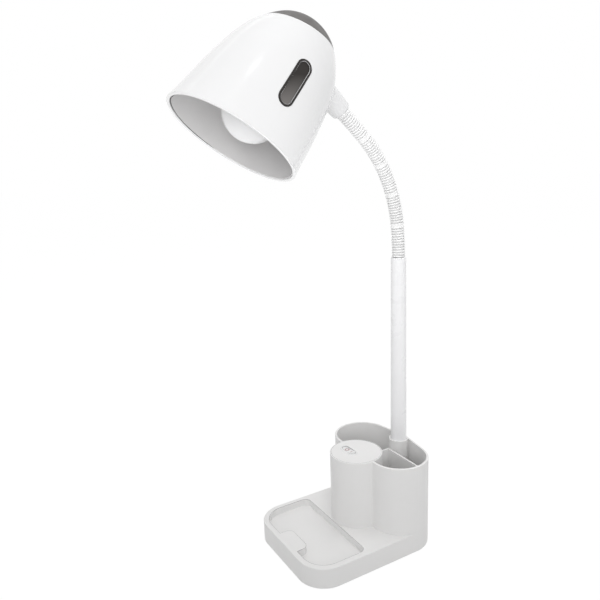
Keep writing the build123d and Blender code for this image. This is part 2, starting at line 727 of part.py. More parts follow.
def shade_shell():
    """Bell-shaped outer shade with its two side openings."""
    shell = (bell(0) - bell(SHADE_WALL)) & above(MOUTH_HEIGHT, MOUTH_RAKE) & below(SEAM_HEIGHT, SEAM_RAKE)
    lip = (bell(SHADE_WALL / 2) - bell(LIP_WIDTH)) & above(MOUTH_HEIGHT, MOUTH_RAKE)
    shell += lip & below(MOUTH_HEIGHT + LIP_HEIGHT, MOUTH_RAKE)
    shell = fillet(shell.edges().sort_by(Axis.Z)[:2], LIP_R)
    for prism in vent_pill(VENT_FIT):
        shell -= prism
    hole = Pos(0, TAB_SEAT, COLLAR_HEIGHT) * Rot(-90, 0, 0) * Cylinder(NIPPLE_R + NIPPLE_FIT, 40, align=UP)
    return shell - hole


def shade_cap():
    """Dark dome that closes the shade, with a spigot that plugs into it."""
    top = SEAM_HEIGHT + SEAM_GAP
    inner = SHADE_WALL + SEAM_GAP + SPIGOT_WALL
    joined = below(top + SPIGOT_LENGTH / 2, SEAM_RAKE)
    dome = (bell(0) - bell(SHADE_WALL)) & above(top, SEAM_RAKE)
    band = (bell(SHADE_WALL / 2) - bell(inner)) & above(top + SEAM_GAP, SEAM_RAKE) & joined
    spigot = (bell(SHADE_WALL + SEAM_GAP) - bell(inner)) & above(SEAM_HEIGHT - SPIGOT_LENGTH, SEAM_RAKE) & joined
    spigot -= Pos(0, TAB_SEAT, COLLAR_HEIGHT) * Rot(-90, 0, 0) * Cylinder(COLLAR_ROOT_R + 1, 40, align=UP)
    return dome + band + spigot


def shade_liner():
    """Thin reflector inside the shade, held at its neck by the shade ring."""
    out = [p for p in profile_points(SHADE_WALL + LINER_GAP) if p[1] < LINER_TURN]
    inn = [p for p in profile_points(SHADE_WALL + LINER_GAP + LINER_WALL) if p[1] < LINER_TURN]
    seat = HOLDER_SHOULDER - 0.05
    hole = HOLDER_THREAD_R + 0.3
    turn_out = (RING_R + 3.0, seat)
    turn_in = (RING_R + 2.0, seat - LINER_WALL)
    outer = Spline(*out, tangents=[(-0.06, 1.0), (-0.16, 1.0)])
    inner = Spline(*inn, tangents=[(-0.06, 1.0), (-0.16, 1.0)])
    face = make_face(
        [
            outer,
            Line(out[-1], turn_out),
            Line(turn_out, (hole, seat)),
            Line((hole, seat), (hole, seat - LINER_WALL)),
            Line((hole, seat - LINER_WALL), turn_in),
            Line(turn_in, inn[-1]),
            inner,
            Line(inn[0], out[0]),
        ]
    )
    return revolve(Plane.XZ * face, Axis.Z) & above(MOUTH_HEIGHT + LINER_RECESS, MOUTH_RAKE)


def vent_frames():
    """Dark frame in each side opening."""
    band = bell(-VENT_PROUD) - bell(VENT_BACK)
    inner = vent_pill(-VENT_FRAME)
    return [(outer - inner[k]) & band for k, outer in enumerate(vent_pill(0))]


def vent_panels():
    """Sunk dark panel in each frame."""
    band = bell(VENT_PANEL_SINK) - bell(VENT_BACK)
    return [prism & band for prism in vent_pill(-VENT_FRAME - FOOT_FIT)]


def out_axis(distance):
    """Frame on the collar's axis, Z pointing away from the shade."""
    return Pos(0, distance, COLLAR_HEIGHT) * Rot(-90, 0, 0)


def neck_collar():
    """Tapered collar on the shade's back, with the last ball of the neck."""
    face = COLLAR_REACH - JOINT_GAP / 2
    root = 34.0
    cone = Pos(0, 0, 0) * Cone(COLLAR_ROOT_R, COLLAR_END_R, face - root, align=UP)
    cone = fillet(cone.edges().group_by(Axis.Z)[-1], COLLAR_EDGE_R)
    collar = out_axis(root) * cone - bell(-0.05)
    collar += out_axis(COLLAR_REACH) * Sphere(BALL_R)
    collar -= out_axis(root) * Cylinder(COLLAR_BORE_R, COLLAR_NIPPLE_END + 0.3 - root, align=UP)
    return collar - out_axis(root) * Cylinder(NECK_BORE_R - 1, 60, align=UP)


def collar_nipple():
    """Threaded tube that ties collar, shade and bracket together."""
    low = TAB_SEAT - NUT_HEIGHT - 1.0
    return out_axis(low) * tube(NIPPLE_R, NIPPLE_BORE_R - 0.7, 0, COLLAR_NIPPLE_END - low)


def collar_saddle():
    """Sleeve between the bracket and the shade's inner face."""
    start = TAB_SEAT + TAB_THICKNESS + 0.05
    sleeve = out_axis(start) * tube(SADDLE_R, NIPPLE_R + NIPPLE_FIT, 0, 30)
    return sleeve & bell(SHADE_WALL + 0.05)


def collar_nut():
    """Nut on the nipple, against the bracket tab."""
    return out_axis(TAB_SEAT - NUT_HEIGHT - 0.05) * hex_nut()


def holder_bracket():
    """Band round the lampholder, two cheeks and a tab for the nipple."""
    low = COLLAR_HEIGHT - BAND_HEIGHT / 2
    band_r = HOLDER_R + 0.1
    bracket = tube(band_r + BAND_WALL, band_r, low, low + BAND_HEIGHT)
    reach = TAB_SEAT - band_r + 3.0
    for side in (-1, 1):
        cheek = Box(CHEEK_THICKNESS, reach, BAND_HEIGHT)
        bracket += Pos(side * (CHEEK_X + CHEEK_THICKNESS / 2), TAB_SEAT + 0.5 - reach / 2, COLLAR_HEIGHT) * cheek
    tab = Cylinder(TAB_R, TAB_THICKNESS, align=UP) & Box(2 * TAB_R, BAND_HEIGHT, 10)
    bracket += out_axis(TAB_SEAT) * tab
    bracket -= Pos(0, 0, low - 1) * Cylinder(band_r, BAND_HEIGHT + 2, align=UP)
    return bracket - out_axis(TAB_SEAT - 1) * Cylinder(NIPPLE_R + NIPPLE_FIT, 6, align=UP)


def lampholder():
    """Screw lampholder body, open towards the mouth."""
    body = Pos(0, 0, HOLDER_FRONT) * Cylinder(HOLDER_THREAD_R, HOLDER_SHOULDER - HOLDER_FRONT, align=UP)
    rear = Pos(0, 0, HOLDER_SHOULDER) * Cylinder(HOLDER_R, HOLDER_BACK - HOLDER_SHOULDER, align=UP)
    rear = fillet(rear.edges().group_by(Axis.Z)[-1], 3.0)
    tip_end = CAP_END + TIP_LENGTH
    body = body + rear - Pos(0, 0, HOLDER_FRONT) * Cylinder(
        HOLDER_BORE_R, tip_end + CONTACT_THICKNESS + 0.1 - HOLDER_FRONT, align=UP
    )
    return body - Pos(0, 0, tip_end) * Cylinder(2.2, 30, align=UP)


def holder_ring():
    """Ring that clamps the liner on the lampholder."""
    top = HOLDER_SHOULDER - LINER_WALL - 0.1
    ring = tube(RING_R, HOLDER_THREAD_R + 0.08, top - RING_HEIGHT, top)
    grip = 18
    for k in range(grip):
        a = 2 * 3.14159265 * k / grip
        ring -= Pos(RING_R * cos(a), RING_R * sin(a), top - RING_HEIGHT) * Cylinder(1.0, RING_HEIGHT - 1, align=UP)
    return ring


def holder_contact():
    """Centre contact at the bottom of the lampholder."""
    low = CAP_END + TIP_LENGTH + 0.05
    strip = Pos(0, 0, low) * Box(7, 2 * HOLDER_BORE_R - 6, CONTACT_THICKNESS, align=UP)
    rivet = Pos(0, 0, low) * Cylinder(2.1, 4.5, align=UP)
    return strip + rivet


def bulb_globe():
    """Frosted globe of the bulb."""
    shell = Sphere(BULB_R) - Sphere(BULB_R - BULB_GLASS)
    keep = Pos(0, 0, -BULB_R - 1) * Box(80, 80, BULB_SPLIT - BULB_CENTRE + BULB_R + 1, align=UP)
    return Pos(0, 0, BULB_CENTRE) * (shell & keep)


def bulb_body():
    """Plastic body between globe and cap, with the driver room inside."""
    wide = (BULB_R**2 - (BULB_SPLIT - BULB_CENTRE) ** 2) ** 0.5
    low = BULB_SPLIT + 0.05
    outer = make_face(
        [
            Line((0, low), (wide, low)),
            Spline((wide, low), (18.6, BULB_NECK - 12.0), (BULB_NECK_R, BULB_NECK), tangents=[(-0.62, 1.0), (-0.1, 1.0)]),
            Line((BULB_NECK_R, BULB_NECK), (BULB_NECK_R - 2.2, BULB_NECK)),
            Line((BULB_NECK_R - 2.2, BULB_NECK), (BULB_NECK_R - 2.2, BULB_NECK + 2.0)),
            Line((BULB_NECK_R - 2.2, BULB_NECK + 2.0), (0, BULB_NECK + 2.0)),
            Line((0, BULB_NECK + 2.0), (0, low)),
        ]
    )
    return revolve(Plane.XZ * outer, Axis.Z)


def bulb_cap():
    """Screw cap of the bulb: a thin shell with rounded threads."""
    low = BULB_NECK + 0.05
    core_r = CAP_R - CAP_THREAD_DEPTH
    pts = [(CAP_R - 0.5, low), (CAP_R - 0.5, low + 3.0)]
    z = low + 3.0
    for k in range(CAP_TURNS):
        pts += [(CAP_R, z + 0.9), (CAP_R, z + 1.7), (core_r, z + 2.7), (core_r, z + CAP_PITCH)]
        z += CAP_PITCH
    pts += [(core_r, CAP_END - 2.0), (6.5, CAP_END)]
    wall = 0.4
    bore_r = BULB_NECK_R - 2.2 + 0.05
    body = Polyline(*pts, (0, CAP_END), (0, low), close=True)
    solid = revolve(Plane.XZ * make_face(body), Axis.Z)
    solid -= Pos(0, 0, low - 1) * Cylinder(bore_r, 3.2, align=UP)
    return solid - Pos(0, 0, low + 2) * Cylinder(core_r - wall - 1.0, CAP_END - low - 4.5, align=UP)


def bulb_tip():
    """Insulator and centre contact at the end of the cap."""
    glass = Pos(0, 0, CAP_END + 0.02) * Cone(6.4, 4.6, TIP_LENGTH / 2, align=UP)
    tip = Pos(0, 0, CAP_END + TIP_LENGTH / 2) * Cone(4.4, 3.0, TIP_LENGTH / 2, align=UP)
    return glass + tip


def head(piece):
    """Moves one or more head pieces from the head's frame to the lamp's."""
    place = head_location()
    if isinstance(piece, list):
        return [place * p for p in piece]
    return place * piece


def write(name, shape):
    """Writes one sub-part; a list becomes a group of separate solids."""
    if isinstance(shape, list):
        shape = Compound(children=[Solid(s.wrapped) if isinstance(s, Solid) else s.solids()[0] for s in shape])
    shape.label = name
    export_step(shape, f"parts/{name}.step")


def main():
    os.makedirs("parts", exist_ok=True)
    write("base_shell", base_shell())
    write("bottom_cover", bottom_cover())
    write("cover_screws", cover_screws())
    write("rubber_feet", rubber_feet())
    write("ballast_plate", ballast_plate())
    write("switch_housing", switch_housing())
    write("switch_rocker", switch_rocker())
    write("switch_pin", switch_pin())
    write("switch_blades", switch_blades())
    write("terminal_block", terminal_block())
    write("terminal_screws", terminal_screws())
    write("cord_inlet_grommet", cord_inlet())
    write("pole_leads", pole_leads())
    write("switch_leads", switch_leads())
    write("pole_tube", pole())
    write("pole_anchor", pole_anchor())
    write("pole_nut", pole_nut())
    for k in range(len(NECK_TURNS)):
        write(f"neck_hose_{k + 1}", neck_length(k))
    write("neck_collar", head(neck_collar()))
    write("collar_nipple", head(collar_nipple()))
    write("collar_saddle", head(collar_saddle()))
    write("collar_nut", head(collar_nut()))
    write("holder_bracket", head(holder_bracket()))
    write("shade_shell", head(shade_shell()))
    write("shade_cap", head(shade_cap()))
    write("shade_liner", head(shade_liner()))
    write("vent_frames", head(vent_frames()))
    write("vent_panels", head(vent_panels()))
    write("lampholder_body", head(lampholder()))
    write("lampholder_ring", head(holder_ring()))
    write("lampholder_contact", head(holder_contact()))
    write("bulb_globe", head(bulb_globe()))
    write("bulb_body", head(bulb_body()))
    write("bulb_screw_cap", head(bulb_cap()))
    write("bulb_contact_tip", head(bulb_tip()))


main()
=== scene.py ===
import logging
import math
from dataclasses import dataclass, field
from enum import Enum

import bmesh
import bpy
from bmesh.types import BMesh, BMVert
from bpy.types import Material, Node, NodeSocket, NodeTree, Object
from mathutils import Matrix, Vector


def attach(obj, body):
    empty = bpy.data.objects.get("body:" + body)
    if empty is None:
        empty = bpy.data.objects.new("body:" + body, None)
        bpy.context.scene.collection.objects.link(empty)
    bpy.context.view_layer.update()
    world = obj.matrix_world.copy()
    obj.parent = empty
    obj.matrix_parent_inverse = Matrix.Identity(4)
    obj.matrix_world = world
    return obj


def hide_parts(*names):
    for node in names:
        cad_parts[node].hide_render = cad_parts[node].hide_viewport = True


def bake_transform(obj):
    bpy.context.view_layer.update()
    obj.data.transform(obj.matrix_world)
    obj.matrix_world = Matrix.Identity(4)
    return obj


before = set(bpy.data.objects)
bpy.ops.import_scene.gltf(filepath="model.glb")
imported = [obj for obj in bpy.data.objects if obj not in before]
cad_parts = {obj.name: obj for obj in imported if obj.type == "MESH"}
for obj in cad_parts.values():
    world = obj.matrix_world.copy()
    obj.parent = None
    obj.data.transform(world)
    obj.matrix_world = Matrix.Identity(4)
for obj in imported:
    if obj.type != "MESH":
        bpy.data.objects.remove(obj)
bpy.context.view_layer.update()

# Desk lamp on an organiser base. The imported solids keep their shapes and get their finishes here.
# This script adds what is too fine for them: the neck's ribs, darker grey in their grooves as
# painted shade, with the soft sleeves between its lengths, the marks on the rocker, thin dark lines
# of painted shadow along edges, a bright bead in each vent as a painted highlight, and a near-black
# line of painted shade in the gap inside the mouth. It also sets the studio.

LOG = logging.getLogger("desk_lamp")
MM = 0.001
NOTHING = 1e-9
WELD_DISTANCE = 1e-7
SHARP_ANGLE = 38.0
Pair = tuple[float, float]
Triple = tuple[float, float, float]

# The mix node's sockets share their names, so they are reached by number.
MIX_FACTOR = 0
MIX_FLOAT_A, MIX_FLOAT_B, MIX_FLOAT_OUT = 2, 3, 0
MIX_COLOR_A, MIX_COLOR_B, MIX_COLOR_OUT = 6, 7, 2
FLOAT, COLOR, VECTOR = "NodeSocketFloat", "NodeSocketColor", "NodeSocketVector"

WHITE = (1.0, 1.0, 1.0, 1.0)
TONE_SIZE = 28.0
BRUSH_STRETCH = (1.0, 1.0, 0.06)
SCATTER_RADIUS = (1.0, 0.95, 0.9)
SCATTER_DEPTH = 4 * MM
WORN_TONE = 0.82
WORN_ROUGHNESS = 0.2


def set_inputs(node: Node, values: dict[str | int, object]) -> None:
    """Sets values of a node's inputs.

    Args:
        node: The node.
        values: Values by the input's name or number.
    """
    for key, value in values.items():
        node.inputs[key].default_value = value


def add_node(
    tree: NodeTree,
    kind: str,
    settings: dict[str, object] | None = None,
    values: dict[str | int, object] | None = None,
) -> Node:
    """Adds a shader node.

    Args:
        tree: The node tree.
        kind: The node's type.
        settings: Its properties, such as its operation.
        values: Values of its inputs, by name or number.

    Returns:
        The node.
    """
    node = tree.nodes.new(kind)
    for name, value in (settings or {}).items():
        setattr(node, name, value)
    set_inputs(node, values or {})
    return node


def join(tree: NodeTree, *pairs: tuple[NodeSocket, NodeSocket]) -> None:
    """Links sockets.

    Args:
        tree: The node tree.
        pairs: An output and the input that it goes to.
    """
    for start, end in pairs:
        tree.links.new(start, end)


def around(count: int) -> list[float]:
    """Angles of a full turn in equal steps.

    Args:
        count: Number of steps.

    Returns:
        The angles in radians, from 0.
    """
    return [2 * math.pi * k / count for k in range(count)]


def join_rows(bm: BMesh, rows: list[list[BMVert]]) -> None:
    """Skins a closed tube between rings of vertices, the last ring back to the first.

    Args:
        bm: The mesh.
        rows: The rings, all with as many vertices.
    """
    for low, high in zip(rows, rows[1:] + rows[:1]):
        for k in range(len(low)):
            nxt = (k + 1) % len(low)
            bm.faces.new((low[k], low[nxt], high[nxt], high[k]))


def spin_round(
    bm: BMesh, chain: list[BMVert], pairs: list[tuple[BMVert, BMVert]], steps: int
) -> None:
    """Spins a line of vertices once round Z.

    Args:
        bm: The mesh.
        chain: The vertices.
        pairs: Which of them are joined by an edge.
        steps: Steps of the turn.
    """
    edges = [bm.edges.new(pair) for pair in pairs]
    bmesh.ops.spin(
        bm,
        geom=chain + edges,
        cent=(0, 0, 0),
        axis=(0, 0, 1),
        angle=2 * math.pi,
        steps=steps,
        use_merge=True,
    )


class Pattern(Enum):
    """What the surface of a finish looks like from close by."""

    MOULDED = "moulded"
    PAINTED = "painted"
    POLISHED = "polished"
    BRUSHED = "brushed"
    RUBBERY = "rubbery"


class Groups:
    """Shader node groups that several finishes share."""

    def __init__(self) -> None:
        """Builds the three groups."""
        self.grain = self._grain()
        self.tone = self._tone()
        self.wear = self._wear()

    @staticmethod
    def _group(
        name: str, inputs: dict[str, tuple[str, object]], outputs: dict[str, str]
    ) -> tuple[NodeTree, Node, Node]:
        """Starts a group with its sockets.

        Args:
            name: The group's name.
            inputs: Name to socket type and default value.
            outputs: Name to socket type.

        Returns:
            The group's tree, its input node and its output node.
        """
        tree = bpy.data.node_groups.new(name, "ShaderNodeTree")
        for label, (kind, value) in inputs.items():
            socket = tree.interface.new_socket(name=label, in_out="INPUT", socket_type=kind)
            if value is not None:
                socket.default_value = value
        for label, kind in outputs.items():
            tree.interface.new_socket(name=label, in_out="OUTPUT", socket_type=kind)
        return tree, tree.nodes.new("NodeGroupInput"), tree.nodes.new("NodeGroupOutput")

    def _grain(self) -> NodeTree:
        """Fine surface texture: a height made of two sizes of noise.

        Returns:
            The node group.
        """
        tree, src, out = self._group(
            "surface_grain",
            {
                "Vector": (VECTOR, None),
                "Fine": (FLOAT, 3000.0),
                "Coarse": (FLOAT, 300.0),
                "Share": (FLOAT, 0.3),
            },
            {"Height": FLOAT},
        )
        fine = add_node(tree, "ShaderNodeTexNoise", values={"Detail": 2.0})
        coarse = add_node(tree, "ShaderNodeTexNoise", values={"Detail": 3.0})
        mix = add_node(tree, "ShaderNodeMix", {"data_type": "FLOAT"})
        join(
            tree,
            (src.outputs["Vector"], fine.inputs["Vector"]),
            (src.outputs["Vector"], coarse.inputs["Vector"]),
            (src.outputs["Fine"], fine.inputs["Scale"]),
            (src.outputs["Coarse"], coarse.inputs["Scale"]),
            (src.outputs["Share"], mix.inputs[MIX_FACTOR]),
            (fine.outputs[0], mix.inputs[MIX_FLOAT_A]),
            (coarse.outputs[0], mix.inputs[MIX_FLOAT_B]),
            (mix.outputs[MIX_FLOAT_OUT], out.inputs["Height"]),
        )
        return tree

    def _tone(self) -> NodeTree:
        """Slow drift of colour over a surface.

        Returns:
            The node group.
        """
        tree, src, out = self._group(
            "tone_drift",
            {
                "Vector": (VECTOR, None),
                "Light": (COLOR, WHITE),
                "Deep": (COLOR, (0.8, 0.8, 0.8, 1)),
                "Size": (FLOAT, 20.0),
            },
            {"Color": COLOR, "Drift": FLOAT},
        )
        noise = add_node(tree, "ShaderNodeTexNoise", values={"Detail": 4.0, "Roughness": 0.6})
        spread = add_node(tree, "ShaderNodeMapRange", values={"From Min": 0.35, "From Max": 0.65})
        mix = add_node(tree, "ShaderNodeMix", {"data_type": "RGBA"})
        join(
            tree,
            (src.outputs["Vector"], noise.inputs["Vector"]),
            (src.outputs["Size"], noise.inputs["Scale"]),
            (noise.outputs[0], spread.inputs["Value"]),
            (spread.outputs[0], mix.inputs[MIX_FACTOR]),
            (src.outputs["Light"], mix.inputs[MIX_COLOR_A]),
            (src.outputs["Deep"], mix.inputs[MIX_COLOR_B]),
            (mix.outputs[MIX_COLOR_OUT], out.inputs["Color"]),
            (spread.outputs[0], out.inputs["Drift"]),
        )
        return tree

    def _wear(self) -> NodeTree:
        """Fine handling scratches and scuffs, as a mask.

        Returns:
            The node group.
        """
        tree, src, out = self._group(
            "handling_wear",
            {"Vector": (VECTOR, None), "Scale": (FLOAT, 60.0), "Amount": (FLOAT, 0.5)},
            {"Mask": FLOAT},
        )
        slant, stretched = (0.3, 0.2, 0.7), (1.0, 14.0, 9.0)
        stretch = add_node(
            tree, "ShaderNodeMapping", values={"Rotation": slant, "Scale": stretched}
        )
        lines = add_node(tree, "ShaderNodeTexNoise", values={"Detail": 3.0})
        patches = add_node(tree, "ShaderNodeTexNoise", values={"Scale": 40.0})
        cut = add_node(tree, "ShaderNodeMapRange", values={"From Min": 0.62, "From Max": 0.7})
        where = add_node(tree, "ShaderNodeMapRange", values={"From Min": 0.5, "From Max": 0.65})
        both = add_node(tree, "ShaderNodeMath", {"operation": "MULTIPLY"})
        scale = add_node(tree, "ShaderNodeMath", {"operation": "MULTIPLY"})
        join(
            tree,
            (src.outputs["Vector"], stretch.inputs["Vector"]),
            (stretch.outputs[0], lines.inputs["Vector"]),
            (src.outputs["Scale"], lines.inputs["Scale"]),
            (src.outputs["Vector"], patches.inputs["Vector"]),
            (lines.outputs[0], cut.inputs["Value"]),
            (patches.outputs[0], where.inputs["Value"]),
            (cut.outputs[0], both.inputs[0]),
            (where.outputs[0], both.inputs[1]),
            (both.outputs[0], scale.inputs[0]),
            (src.outputs["Amount"], scale.inputs[1]),
            (scale.outputs[0], out.inputs["Mask"]),
        )
        return tree


@dataclass(frozen=True)
class Finish:
    """One surface finish of the lamp.

    Attributes:
        name: The material's name.
        color: Colour of the clean surface, linear.
        deep: How much darker the drift goes, as a share.
        roughness: Lowest and highest roughness.
        pattern: What it looks like from close by.
        metallic: 0 or 1.
        bump: Height of the grain, in millimetres.
        coat: Weight of the clear layer.
        coat_roughness: Roughness of the clear layer.
        wear: How strong the handling marks are.
        subsurface: Weight of light that goes into the surface.
        specular: Strength of the plain reflection.
        low_color: Colour that it goes over to lower down, if any; on the vent panel a lighter one,
            which is painted light.
        fade: Heights at rest where that starts and ends, in metres.
    """

    name: str
    color: Triple
    deep: float
    roughness: Pair
    pattern: Pattern
    metallic: float = 0.0
    bump: float = 0.01
    coat: float = 0.0
    coat_roughness: float = 0.1
    wear: float = 0.0
    subsurface: float = 0.0
    specular: float = 0.5
    low_color: Triple | None = None
    fade: Pair = (0.0, 1.0)

    def sizes(self) -> Triple:
        """Noise scales of the pattern.

        Returns:
            Fine scale, coarse scale and the coarse one's share.
        """
        return {
            Pattern.MOULDED: (2600.0, 700.0, 0.35),
            Pattern.PAINTED: (1500.0, 420.0, 0.55),
            Pattern.POLISHED: (500.0, 130.0, 0.7),
            Pattern.BRUSHED: (3000.0, 500.0, 0.2),
            Pattern.RUBBERY: (4200.0, 900.0, 0.25),
        }[self.pattern]

    def build(self, groups: Groups) -> Material:
        """Makes the material.

        Args:
            groups: The shared node groups.

        Returns:
            The material.
        """
        material = bpy.data.materials.new(self.name)
        material.use_nodes = True
        tree = material.node_tree
        shader = tree.nodes["Principled BSDF"]
        where = add_node(tree, "ShaderNodeTexCoord")
        vector = where.outputs["Object"]
        if self.pattern is Pattern.BRUSHED:
            stretch = add_node(tree, "ShaderNodeMapping", values={"Scale": BRUSH_STRETCH})
            join(tree, (vector, stretch.inputs["Vector"]))
            vector = stretch.outputs[0]
        deep = [c * (1 - self.deep) for c in self.color]
        fine, coarse, share = self.sizes()
        low, high = self.roughness
        tone = add_node(
            tree,
            "ShaderNodeGroup",
            {"node_tree": groups.tone},
            {"Light": (*self.color, 1.0), "Deep": (*deep, 1.0), "Size": TONE_SIZE},
        )
        grain = add_node(
            tree,
            "ShaderNodeGroup",
            {"node_tree": groups.grain},
            {"Fine": fine, "Coarse": coarse, "Share": share},
        )
        height = self.bump * MM
        bump = add_node(tree, "ShaderNodeBump", values={"Strength": 1.0, "Distance": height})
        rough = add_node(tree, "ShaderNodeMapRange", values={"To Min": low, "To Max": high})
        join(
            tree,
            (vector, tone.inputs["Vector"]),
            (vector, grain.inputs["Vector"]),
            (grain.outputs["Height"], bump.inputs["Height"]),
            (bump.outputs["Normal"], shader.inputs["Normal"]),
            (tone.outputs["Drift"], rough.inputs["Value"]),
        )
        if self.low_color is not None:
            self._fade(tree, where, tone)
        self._wear(groups, tree, where, tone, rough, shader)
        set_inputs(
            shader,
            {
                "Metallic": self.metallic,
                "Specular IOR Level": self.specular,
                "Coat Weight": self.coat,
                "Coat Roughness": self.coat_roughness,
            },
        )
        if self.subsurface:
            set_inputs(
                shader,
                {
                    "Subsurface Weight": self.subsurface,
                    "Subsurface Radius": SCATTER_RADIUS,
                    "Subsurface Scale": SCATTER_DEPTH,
                },
            )
        return material

    def _fade(self, tree: NodeTree, where: Node, tone: Node) -> None:
        """Lets the colour go over to another one lower down, which paints light on the vent panel's
        lower part.

        Args:
            tree: The material's nodes.
            where: Its texture coordinates.
            tone: Its tone group, whose two colours are set.
        """
        low, high = self.fade
        parts = add_node(tree, "ShaderNodeSeparateXYZ")
        ramp = add_node(tree, "ShaderNodeMapRange", values={"From Min": low, "From Max": high})
        mix = add_node(
            tree,
            "ShaderNodeMix",
            {"data_type": "RGBA"},
            {MIX_COLOR_A: (*self.low_color, 1.0), MIX_COLOR_B: (*self.color, 1.0)},
        )
        join(
            tree,
            (where.outputs["Object"], parts.inputs[0]),
            (parts.outputs["Z"], ramp.inputs["Value"]),
            (ramp.outputs[0], mix.inputs[MIX_FACTOR]),
            (mix.outputs[MIX_COLOR_OUT], tone.inputs["Light"]),
            (mix.outputs[MIX_COLOR_OUT], tone.inputs["Deep"]),
        )

    def _wear(
        self, groups: Groups, tree: NodeTree, where: Node, tone: Node, rough: Node, shader: Node
    ) -> None:
        """Joins colour and roughness to the shader, through handling marks where there are any.

        Args:
            groups: The shared node groups.
            tree: The material's nodes.
            where: Its texture coordinates.
            tone: Its tone group.
            rough: Its roughness range.
            shader: Its Principled shader.
        """
        color, roughness = shader.inputs["Base Color"], shader.inputs["Roughness"]
        if not self.wear:
            join(tree, (tone.outputs["Color"], color), (rough.outputs[0], roughness))
            return
        worn = [c * WORN_TONE for c in self.color]
        wear = add_node(tree, "ShaderNodeGroup", {"node_tree": groups.wear}, {"Amount": self.wear})
        dull = add_node(tree, "ShaderNodeMix", {"data_type": "RGBA"}, {MIX_COLOR_B: (*worn, 1.0)})
        more = add_node(tree, "ShaderNodeMath", {"operation": "MULTIPLY_ADD"}, {1: WORN_ROUGHNESS})
        join(
            tree,
            (where.outputs["Object"], wear.inputs["Vector"]),
            (wear.outputs["Mask"], dull.inputs[MIX_FACTOR]),
            (tone.outputs["Color"], dull.inputs[MIX_COLOR_A]),
            (dull.outputs[MIX_COLOR_OUT], color),
            (wear.outputs["Mask"], more.inputs[0]),
            (rough.outputs[0], more.inputs[2]),
            (more.outputs[0], roughness),
        )


BASE_PLASTIC = Finish(
    "base_plastic", (0.845, 0.84, 0.835), 0.015, (0.4, 0.5), Pattern.MOULDED, bump=0.01, wear=0.15
)
UNDERSIDE = Finish(
    "underside_plastic", (0.70, 0.70, 0.70), 0.05, (0.5, 0.62), Pattern.MOULDED, bump=0.02, wear=0.5
)
SWITCH_WHITE = Finish(
    "switch_white", (0.89, 0.89, 0.89), 0.02, (0.2, 0.28), Pattern.POLISHED, bump=0.003
)
MARK_RED = Finish("mark_red", (0.2, 0.012, 0.016), 0.12, (0.4, 0.5), Pattern.PAINTED, bump=0.003)
# Dark grey of the thin edge lines: painted shadow along edges.
EDGE_PAINTED_SHADOW = Finish(
    "edge_shadow_grey", (0.4, 0.4, 0.4), 0.08, (0.5, 0.6), Pattern.MOULDED, bump=0.004
)
TERMINAL_WHITE = Finish(
    "terminal_white", (0.72, 0.72, 0.69), 0.06, (0.35, 0.45), Pattern.MOULDED, bump=0.01
)
# Darker grey of the hose's grooves: painted shade in the grooves.
GROOVE_PAINTED_SHADE = Finish(
    "hose_groove_painted_shade", (0.66, 0.66, 0.66), 0.08, (0.5, 0.6), Pattern.PAINTED, bump=0.002
)
# Near-black of the line inside the mouth: painted shade in the gap between shell and liner.
GAP_PAINTED_SHADE = Finish(
    "mouth_gap_painted_shade", (0.05, 0.048, 0.048), 0.1, (0.5, 0.6), Pattern.PAINTED, bump=0.002
)
POLE_PAINT = Finish(
    "pole_paint", (0.94, 0.94, 0.95), 0.01, (0.25, 0.34), Pattern.PAINTED, bump=0.003
)
HOSE_SKIN = Finish("hose_skin", (0.95, 0.95, 0.95), 0.01, (0.32, 0.4), Pattern.PAINTED, bump=0.003)
SHADE_GLOSS = Finish(
    "shade_gloss", (0.82, 0.82, 0.825), 0.01, (0.16, 0.22), Pattern.POLISHED,
    bump=0.003, coat=0.6, coat_roughness=0.05,
)
LINER_SATIN = Finish(
    "liner_satin", (0.68, 0.672, 0.672), 0.04, (0.34, 0.44), Pattern.PAINTED, bump=0.008
)
CAP_GREY = Finish(
    "cap_grey", (0.15, 0.142, 0.138), 0.35, (0.34, 0.5), Pattern.POLISHED, bump=0.006, specular=0.4
)
# Vent panel: dark grey, going lighter towards its lower end as painted light.
VENT_PANEL_PAINTED_LIGHT = Finish(
    "vent_panel_grey_painted_light", (0.028, 0.025, 0.023), 0.2, (0.3, 0.4), Pattern.POLISHED,
    bump=0.004, specular=0.22, low_color=(0.17, 0.16, 0.155), fade=(0.431, 0.452),
)
FRAME_GREY = Finish(
    "vent_frame_grey", (0.03, 0.027, 0.026), 0.1, (0.25, 0.33), Pattern.POLISHED,
    bump=0.004, specular=0.3,
)
# Bright metal of the vent beads: a painted highlight along the frame's inner edge.
BEAD_PAINTED_HIGHLIGHT = Finish(
    "vent_bead_painted_highlight", (0.75, 0.75, 0.76), 0.05, (0.12, 0.2), Pattern.BRUSHED,
    metallic=1.0, bump=0.002,
)
HOLDER_BLACK = Finish(
    "holder_black", (0.03, 0.03, 0.032), 0.15, (0.38, 0.5), Pattern.MOULDED, bump=0.01
)
BULB_OPAL = Finish(
    "bulb_opal", (0.88, 0.88, 0.885), 0.015, (0.22, 0.28), Pattern.POLISHED,
    bump=0.002, subsurface=0.25, coat=0.4,
)
BULB_BODY = Finish(
    "bulb_body_white", (0.84, 0.84, 0.84), 0.02, (0.3, 0.38), Pattern.MOULDED, bump=0.006
)
CAP_METAL = Finish(
    "screw_cap_metal", (0.74, 0.74, 0.75), 0.12, (0.22, 0.36), Pattern.BRUSHED,
    metallic=1.0, bump=0.006,
)
STEEL = Finish(
    "zinc_steel", (0.58, 0.58, 0.59), 0.12, (0.28, 0.42), Pattern.BRUSHED,
    metallic=1.0, bump=0.006, wear=0.3,
)
BALLAST = Finish(
    "ballast_steel", (0.34, 0.34, 0.35), 0.2, (0.4, 0.58), Pattern.BRUSHED,
    metallic=1.0, bump=0.015, wear=0.5,
)
